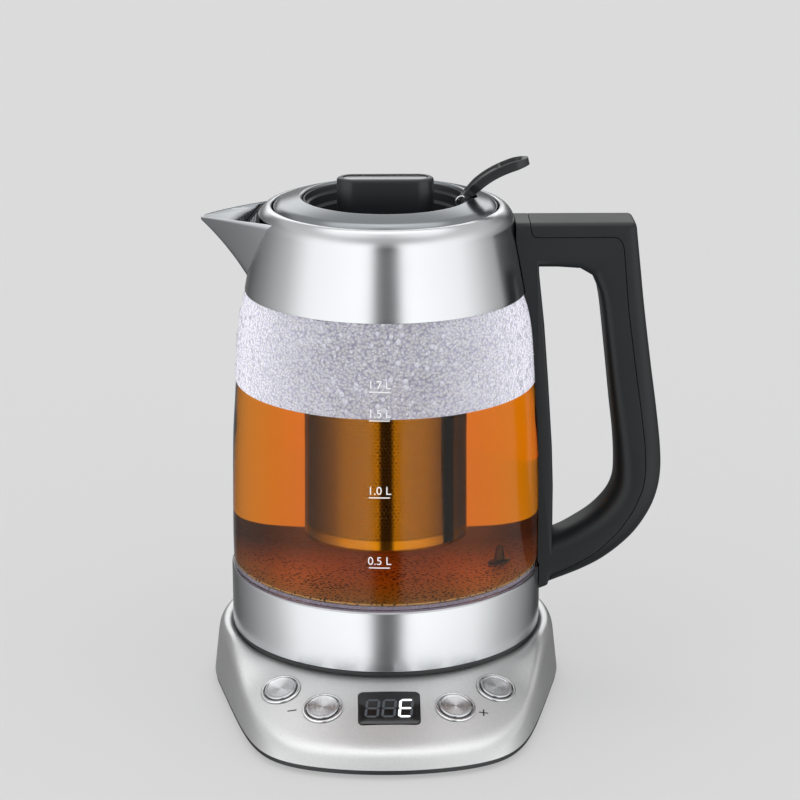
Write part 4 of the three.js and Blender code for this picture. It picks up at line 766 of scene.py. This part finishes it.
def leverBody(stations=46):
    t = np.linspace(0, 1, stations)
    root, mid, tip = (np.array(lever[k]) for k in ("root", "bow", "tip"))
    line = bow(root[None], mid[None], tip[None], t[:, None])
    slope = np.gradient(line, axis=0)
    slope /= np.linalg.norm(slope, axis=1)[:, None]
    rings = []
    for k in range(stations):
        at = t[k]
        nearTip, nearRoot = partWay(at, 0.84, 0.16), partWay(at, 0.1, -0.1)
        slim = 1 - lever["slimRoot"] * partWay(at, 0.26, -0.1)
        w = slim * lever["width"] / 2 * np.sqrt(max(1 - nearTip**2 * 0.9, 0.05))
        h = lever["thick"] / 2 * (1 - 0.25 * nearTip) * (1 - 0.15 * nearRoot)
        sink = lever["groove"] * partWay(at, 0.05, 0.05) * (1 - partWay(at, 0.6, 0.04))
        sink += lever["recess"] * partWay(at, 0.65, 0.04) * (1 - partWay(at, 0.88, 0.06))
        r = min(lever["rim"], w * 0.4)
        low, inside = h - sink - 1e-3, w - r - 0.5
        corners = [(-w, -h), (w, -h), (w, h), (w - r, h), (inside, low), (-inside, low), (r - w, h), (-w, h)]
        section = rounded(corners, [1.0, 1.0, 0.9, 0.35, 0.4, 0.4, 0.35, 0.9], 5)
        x, z = line[k, 0] - slope[k, 1] * section[:, 1], line[k, 1] + slope[k, 0] * section[:, 1]
        rings.append(np.stack([x, section[:, 0], z], 1))
    return capped(np.array(rings))


leverPiece = addPiece("lid_lever_bar", [leverBody()], "lever", gripPlastic, "lid_lever", 40)
boss = turned(rounded([(0, -5.4), (2.35, -5.4), (2.35, 5.4), (0, 5.4)], 0.3, 3, False), 40)
boss = np.stack([boss[..., 0] + 36.8, -boss[..., 2], boss[..., 1] + 208.4], -1)
carve(leverPiece, boss, "UNION", 40)

# return spring beside the lever's foot: a round wire bent in an arc, centre + R (cos a, 0, sin a)
spring = dict(middle=(35.0, -5.2, 207.8), bend=2.5, wire=0.45, first=60, last=225)
bendAt, wireAt = np.meshgrid(np.radians(np.linspace(spring["first"], spring["last"], 24)), np.linspace(0, 2 * pi, 13),
                             indexing="ij")
away = spring["bend"] + spring["wire"] * np.cos(wireAt)
wire = np.stack([away * np.cos(bendAt), spring["wire"] * np.sin(wireAt), away * np.sin(bendAt)], -1) + spring["middle"]
addPiece("lever_spring", [capped(wire)], "lid", chrome)

capDisc = rounded([(0, 188.5), (26.8, 188.5), (26.8, 194.5), (33.3, 194.5), (33.3, 196.6), (32.5, 197.4),
                   (30.5, 197.4), (30.2, 196.4), (0, 196.4)], 0.35, 4, False)
grip = dict(length=44.8, width=15.8, top=218.6, edge=1.5, inlayLength=39.0, inlayWidth=9.6, sink=0.3)


def gripBlock():
    side = roundedPlate(grip["length"], grip["width"], grip["width"] / 2, 96)
    inner = roundedPlate(grip["inlayLength"] + 0.3, grip["inlayWidth"] + 0.3, grip["inlayWidth"] / 2 + 0.149, 96)
    t = np.linspace(0, pi / 2, 6)[:, None]
    inset, height = grip["edge"] * (1 - np.cos(t)), grip["top"] - grip["edge"] * (1 - np.sin(t))
    rings = [(side * 0 + side.mean(0), 196), (side, 196)]
    rings += [(offset(side, d[0], True), z[0]) for d, z in zip(inset, height)]
    rings += [(inner, grip["top"]), (inner, grip["top"] - 1.2), (side * 0, grip["top"] - 1.2)]
    rows = [np.column_stack([ring, np.full(len(side), z)]) for ring, z in rings]
    return np.array(rows)


capPiece = addPiece("strainer_lid", [turned(capDisc, 160)], "cap", gripPlastic, "strainer_cap")
carve(capPiece, gripBlock(), "UNION")
inlayRing = roundedPlate(grip["inlayLength"], grip["inlayWidth"], grip["inlayWidth"] / 2 - 0.001, 96)
addPiece("grip_plate", [slab(inlayRing, grip["top"] - 1.1, grip["top"] - grip["sink"], 0.25, 0.1)], "cap",
         shadedSteel, "grip_inlay")

rimProfile = rounded([(28.8, 183), (30.2, 183), (30.2, 190.3), (33.3, 190.3), (33.3, 193.3), (28.8, 193.3)], 0.3, 4)
addPiece("strainer_collar", [turned(rimProfile, 140)], "strainer", black, "strainer_rim")

# Basket: one loop up the outside and down the inside; the perforated zone is its own piece between
# plain bands at the top and the foot
basket = dict(radius=28.4, wall=0.5, low=48.2, foot=54.2, neck=176.0, top=194.2)
r, w, low, foot, neck, top = (basket[key] for key in ("radius", "wall", "low", "foot", "neck", "top"))
footBand = rounded([(0, low), (r - .6, low), (r, low + .7), (r, foot), (r - w, foot), (r - w, low + .8),
                    (0, low + .8)], 0.3, 4, False)
topBand = rounded([(r, neck), (r, top - .6), (r + 3.1, top - .6), (r + 3.1, top), (r - w, top), (r - w, neck)], 0.2, 3)
foot, neck, outside, inside = foot + 0.05, neck - 0.05, r - 0.02, r - 0.12
screen = [(outside, foot), (outside, neck), (inside, neck), (inside, foot), (outside, foot)]
addPiece("basket_bands", [turned(footBand, 160), turned(topBand, 160)], "strainer",
         bandSteel, "strainer_basket")
addPiece("basket_screen", [turned(screen, 160)], "strainer", mesh)
print("lid and strainer ready")


# Base

base = dict(plate=27.5, plateRadius=72.5, radius=83.3, front=122.8, wall=2.2, taper=2.2, rise=2.6, slope=21.0,
            roll=2.1, cone=3.9, coneTop=37.6, coneFoot=45.1, hole=29.5, foot=4.3, turnDegrees=77.3, sharpness=12)
edgeRows = np.array([[0, 0, 0, 0], [.16, .5, .13, 0], [.4, 1, .4, 0], [.64, .9, .7, 0], [.82, .4, .87, 0],
                     [.94, -.4, .95, .3], [1, -1.4, 1, 1]])
slope = radians(base["slope"])


# outline: (front^-n + side^-n)^(-1/n), where the side line touches the round back at 77.3 degrees from the front
def baseOutline(a):
    side = base["radius"] / np.cos(np.maximum(0, radians(base["turnDegrees"]) - np.abs(a)))
    n = base["sharpness"]
    return (side**-n + base["front"]**-n) ** (-1 / n)


def frontShare(a):
    t = partWay(np.degrees(np.abs(a)), 42, 30)
    return 1 - t * t * (3 - 2 * t)


def coverGrid(count=288):
    angles = np.linspace(-pi, pi, count + 1)
    rings = []
    for a in angles:
        footR, f = baseOutline(a), frontShare(a)
        edge = footR - base["taper"]
        rows = spline(edgeRows, 4)
        share = rows[:, 0] * (1 - f) + rows[:, 2] * f
        radius = base["plateRadius"] + share * (edge - base["plateRadius"])
        drop = (radius - base["plateRadius"]) * np.tan(slope) + rows[:, 3] * base["roll"]
        height = base["plate"] + (1 - f) * rows[:, 1] * base["rise"] - f * drop
        top = base["plate"] + base["cone"]
        cone = rounded([(base["hole"], top - 1.2), (base["hole"], top), (base["coneTop"], top),
                        (base["coneFoot"], base["plate"]), (60, base["plate"])], [0, .5, 1.6, 1.6, 0], 5, False)
        outer = np.vstack([cone, np.stack([radius, height], 1), [(footR, base["foot"])]])
        inner = offset(outer, -base["wall"])
        inner[-1] = [footR - base["wall"], base["foot"]]
        inner[0] = [base["hole"], top - base["wall"]]
        loop = np.vstack([outer[::-1], inner, outer[-1:]])
        rings.append(np.stack([loop[:, 0] * np.sin(a), -loop[:, 0] * np.cos(a), loop[:, 1]], 1))
    return np.array(rings).transpose(1, 0, 2)


def panelPlace(radius, degrees):
    a = radians(degrees)
    across = Vector((np.cos(a), np.sin(a), 0))
    out = Vector((np.sin(slope) * np.sin(a), -np.sin(slope) * np.cos(a), np.cos(slope)))
    upward = out.cross(across)
    height = base["plate"] - (radius - base["plateRadius"]) * np.tan(slope)
    middle = Vector((radius * np.sin(a), -radius * np.cos(a), height))
    turn = np.array([across, upward, out]).T
    return turn, np.array(middle), np.array(out)


def onPanel(grid, radius, degrees):
    turn, middle, _ = panelPlace(radius, degrees)
    return grid @ turn.T + middle


windowPlace = (90.9, 0)
buttons = dict(program=(87.6, -34.4), minus=(93.5, -18.8), plus=(93.5, 18.8), power=(87.6, 34.4))
cover = addPiece("base_housing", [coverGrid()], "base", lacquer, "base_cover", 30)
for spot in buttons.values():
    hole = turned([(0, -6), (9.1, -6), (9.1, 6), (0, 6)], 64)
    carve(cover, onPanel(hole, *spot), sharp=30)
window = roundedPlate(28.4, 21.3, 2.5, 48)
carve(cover, onPanel(slab(window, -6, 6, 0, 0, 2), *windowPlace), sharp=30)
dimple = slab(roundedPlate(13.4, 5.1, 2.54, 48) + [0, 65.7], 26.6, 30, 0, 0, 2)
carve(cover, dimple, sharp=30)

floorA = np.linspace(-pi, pi, 241)
edge = baseOutline(floorA)
floorRows = [(0 * edge, 1.9), (edge - 0.8, 1.9), (edge - 0.4, 2.3), (edge - 0.4, 4.1), (edge - 2.9, 4.1),
             (edge - 2.9, 3.7), (0 * edge, 3.7)]
floorGrid = np.array([np.stack([q * np.sin(floorA), -q * np.cos(floorA), np.full(len(floorA), z)], 1)
                      for q, z in floorRows])
addPiece("base_tray", [floorGrid], "base", black, "base_floor")
for name, x, y in (("back_left", -50, 46), ("back_right", 50, 46), ("front_left", -47, -84), ("front_right", 47, -84)):
    pad = rounded([(0, 0), (5.3, 0), (6, 0.7), (6, 1.6), (0, 1.6)], 0.3, 3, False)
    addPiece("pad_" + name, [turned(pad, 48) + [x, y, 0]], "base", darkRubber, "foot_" + name)

# the connector's plate and post are drawn from the base's plate up, its contacts from their own top down
seat = base["plate"]
top = seat + 16.5
discProfile = [(20.8, .6), (31.5, .6), (31.5, 1.4), (29.2, 1.4), (29.2, 3.9), (20.8, 3.9)]
addPiece("connector_plate", [turned(rounded(np.add(discProfile, [0, seat]), 0.3, 4), 140)], "base",
         greyPlastic, "connector_disc")
towerProfile = rounded(
    np.add([(0, -23.3), (15, -23.3), (15, .9), (20.5, .9), (20.5, 3.9), (18.3, 4), (18.3, 6.4), (17.5, 7.4),
            (16.2, 8.4), (16.2, 12.5), (17, 13.2), (17.8, 13.8), (17.8, 16), (17.3, 16.5), (15.5, 16.5),
            (15.5, 15.3), (0, 15.3)], [0, seat]),
    [0, .3, .3, .4, .5, .4, .8, .5, .8, .8, .4, .5, .5, .5, .3, .1, 0], 5, False)
tower = addPiece("connector_post", [turned(towerProfile, 140)], "base", charcoal, "connector_tower")
keySlot = slab(roundedPlate(3.2, 2.4, 0.2, 16) + [-17.2, 0], seat + 6.8, seat + 13, 0, 0, 2)
carve(tower, keySlot)
blockProfile = [(2.8, -1.1), (15.2, -1.1), (15.2, -.15), (12.55, -.15), (12.55, -.7), (11.25, -.7), (11.25, -.15),
                (8.95, -.15), (8.95, -.7), (7.65, -.7), (7.65, -.15), (2.8, -.15)]
addPiece("contact_top", [turned(rounded(np.add(blockProfile, [0, top]), 0.12, 3), 120)], "base",
         contactBlack, "contact_block")
for name, r0, r1 in (("ring_outer", 11.45, 12.35), ("ring_inner", 7.85, 8.75)):
    liveRing = rounded(np.add([(r0, -.6), (r1, -.6), (r1, 0), (r0, 0)], [0, top]), 0.15, 4)
    addPiece("live_" + name, [turned(liveRing, 120)], "base", chrome, "contact_" + name)
earthPin = rounded(np.add([(0, -.6), (2.6, -.6), (2.6, -.2), (2.1, 0), (0, 0)], [0, top]), 0.25, 4, False)
addPiece("earth_pin", [turned(earthPin, 60)], "base", chrome, "contact_pin")

capProfile = rounded([(0, -5.8), (2.2, -5.8), (2.2, -3.4), (9.0, -3.4), (9.0, -2.5), (7.4, -2.5), (7.4, 1.35),
                      (6.8, 1.5), (6.1, 1.25), (0, 0.95)], [0, .2, .2, .2, .2, .1, .3, .3, .3, 0], 5, False)
bezelProfile = rounded([(8.1, -2.2), (8.8, -2.2), (8.8, .3), (9.5, .3), (9.2, .8), (8.1, .8)],
                       [.1, .1, .05, .25, .3, .3], 5)
for name, spot in buttons.items():
    turn, middle, out = panelPlace(*spot)
    face = spunSteel("spun_steel_" + name, "#d2d4d6", 0.24, tuple((middle + baseOrigin) / 1000), tuple(out))
    addPiece("cap_" + name, [onPanel(turned(capProfile, 96), *spot)], name + "_button",
             face, "button_" + name, 40)
    addPiece("bezel_" + name, [onPanel(turned(bezelProfile, 96), *spot)], "base", chrome,
             "button_bezel_" + name, 40)

pane = slab(roundedPlate(27.8, 20.7, 2.4, 64), -1.45, 0.15, 0.35, 0.1)
addPiece("display_pane", [onPanel(pane, *windowPlace)], "base", glossBlack, "display_window")

# Seven-segment figures: each segment is a bar with pointed ends, leaned 5 degrees
digits = dict(width=5.4, height=10.4, bar=1.15, pitch=7.6, lean=0.09, thick=0.02, lift=0.17, drop=0.3)


def segmentBars():
    w, h, b = digits["width"], digits["height"], digits["bar"]
    flat = np.array([(-.5, 0), (-.36, -.5), (.36, -.5), (.5, 0), (.36, .5), (-.36, .5)])
    spans = {"top": (0, h / 2, 0), "middle": (0, 0, 0), "foot": (0, -h / 2, 0), "leftHigh": (-w / 2, h / 4, 1),
             "leftLow": (-w / 2, -h / 4, 1), "rightHigh": (w / 2, h / 4, 1), "rightLow": (w / 2, -h / 4, 1)}
    bars = {}
    for key, (x, y, upright) in spans.items():
        length = h / 2 - 0.25 if upright else w - 0.25
        bar = flat * [length, b]
        bar = bar[:, ::-1] * [-1, 1] if upright else bar
        bar = bar + [x, y]
        bars[key] = bar + np.column_stack([bar[:, 1] * digits["lean"], 0 * bar[:, 1]])
    return bars


segments = {"dim_figures": [], "lit_figures": []}
for index, lit in enumerate(((), (), ("top", "leftHigh", "middle", "leftLow", "foot"))):
    for key, bar in segmentBars().items():
        shifted = bar + [(index - 1) * digits["pitch"], -digits["drop"]]
        ringed = np.vstack([shifted, shifted[0]])
        plate3 = slab(ringed, digits["lift"], digits["lift"] + digits["thick"], 0, 0, 2)
        segments["lit_figures" if key in lit else "dim_figures"].append(onPanel(plate3, *windowPlace))
for name, material in (("dim_figures", dimSegment), ("lit_figures", litSegment)):
    addPiece(name, segments[name], "base", material)

# plus and minus signs beside the two lower buttons, turned back in the panel's plane so that they stand square
signs = dict(length=4.2, width=0.7, corner=0.12, minus=(97.6, -26.9), plus=(99.4, 25.6))


def signBar(length, width, spot):
    bar = slab(roundedPlate(length, width, signs["corner"], 16), -0.3, 0.05, 0, 0, 2)
    return onPanel(bar @ np.array(Matrix.Rotation(radians(spot[1]), 3, "Z")), *spot)


for key in ("minus", "plus"):
    lying = signBar(signs["length"], signs["width"], signs[key])
    sign = addPiece("sign_" + key, [lying], "base", darkInk)
carve(sign, signBar(signs["width"], signs["length"], signs["plus"]), "UNION")
print("base ready")


# CAD nodes that keep their own shape

kept = {
    "cord_inlet": darkRubber, "display_module": black, "display_board": board, "button_board_left": board,
    "button_board_right": board, "power_board": board, "switch_program": black, "switch_minus": black,
    "switch_plus": black, "switch_power": black, "spout_filter": charcoal, "neck_ring": black,
    "heating_element": aluminium, "coupler_socket": black, "coupler_ring_inner": brass, "coupler_ring_outer": brass,
    "coupler_pin": brass, "lid_seal": silicone, "lever_pin": chrome,
}
for name, material in kept.items():
    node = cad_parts[name]
    node.data.materials.clear()
    node.data.materials.append(material)
print("carried-over nodes finished:", len(kept))


# Studio: a pale floor under a room that is bright to both sides of the camera and behind the jug

studio = dict(
    walls=[(-180, .32), (-150, .1), (-120, .34), (-91, .7), (-68, 1.4), (-14, 1.65), (-8, .15), (0, .08), (8, .15),
           (14, 1.65), (66, 1.35), (95, .65), (126, .28), (150, .04), (180, .16)],
    middle=[(-180, 1.65), (-158, 1.6), (-148, .15), (-120, .4), (-91, .8), (-68, 1.4), (-14, 1.65), (-8, .3), (0, .2),
            (8, .3), (14, 1.65), (68, 1.35), (97, .8), (126, .5), (148, .05), (158, 1.6), (180, 1.65)],
    above=[(-180, .6), (-120, .7), (-60, .9), (0, .55), (60, .9), (120, .7), (180, .6)],
    top=[(-180, 2.1), (-60, 1.2), (0, .7), (60, 1.2), (180, 2.1)],
    below=[(-180, .2), (0, .3), (180, .2)],
)

floorMesh = bpy.data.meshes.new("floor")
floorMesh.from_pydata([(-9, -9, 0), (9, -9, 0), (9, 9, 0), (-9, 9, 0)], [], [(0, 1, 2, 3)])
floor = newObject("floor", floorMesh)
paper, tree = newMaterial("background_paper")
fibre = pattern(tree, "Noise", 0.4)
tone = addNode(tree, "Mix", {"Factor": fibre, "A": linear("#dcdcdc"), "B": linear("#dadada")}, colours)
matt = addNode(tree, "BsdfPrincipled", {"Roughness": 0.9, "Base Color": tone})
# the camera sees the paper half as it is lit and half as plain pale grey, which keeps a soft shadow under the base
seen = addNode(tree, "LightPath").outputs
through = addNode(tree, "Math", [seen["Is Camera Ray"], seen["Is Transmission Ray"]], "MAXIMUM")
share = addNode(tree, "Math", [through, 0.55], "MULTIPLY")
even = addNode(tree, "Emission", {"Color": linear("#dbdbdc"), "Strength": 1.0})
both = addNode(tree, "MixShader", [share, matt, even])
mirrored = addNode(tree, "Math", [seen["Glossy Depth"], 0.5], "GREATER_THAN")
whole = addNode(tree, "MixShader", [mirrored, both, addNode(tree, "BsdfTransparent")])
addNode(tree, "OutputMaterial", {"Surface": whole})
floorMesh.materials.append(paper)

world = bpy.data.worlds.new("studio")
bpy.context.scene.world = world
world.use_nodes = True
tree = world.node_tree
tree.nodes.clear()
# direction to degrees round the part: 0 is the camera's side, positive towards the handle
across, depth, height = addNode(tree, "SeparateXYZ", [addNode(tree, "TexCoord").outputs["Generated"]]).outputs
toward = addNode(tree, "Math", [depth, -1.0], "MULTIPLY")
turn = addNode(tree, "Math", [across, toward], "ARCTAN2")
share = addNode(tree, "MapRange", {"Value": turn, "From Min": -pi, "From Max": pi})
# each zone's tones lie over the last one's between two heights of the direction
zones = dict(walls=None, middle=(0.14, 0.27), above=(0.42, 0.6), top=(0.8, 0.9), below=(-0.5, -0.75))
for key, limits in zones.items():
    tones = addNode(tree, "ValToRGB", [share])
    stops = tones.color_ramp.elements
    for index, (degrees, tone) in enumerate(studio[key]):
        stop = stops[index] if index < 2 else stops.new(1.0)
        stop.position = (degrees + 180) / 360
        stop.color = (tone / 2, tone / 2, tone / 2, 1)
    if limits:
        lift = addNode(tree, "MapRange", {"Value": height, "From Min": limits[0], "From Max": limits[1]},
                       {"interpolation_type": "SMOOTHSTEP"})
        tones = addNode(tree, "Mix", {"Factor": lift, "A": room, "B": tones}, colours)
    room = tones
addNode(tree, "OutputWorld", {"Surface": addNode(tree, "Background", {"Color": room, "Strength": 2.0})})
bpy.context.scene.view_settings.view_transform = "Standard"
print("studio ready")
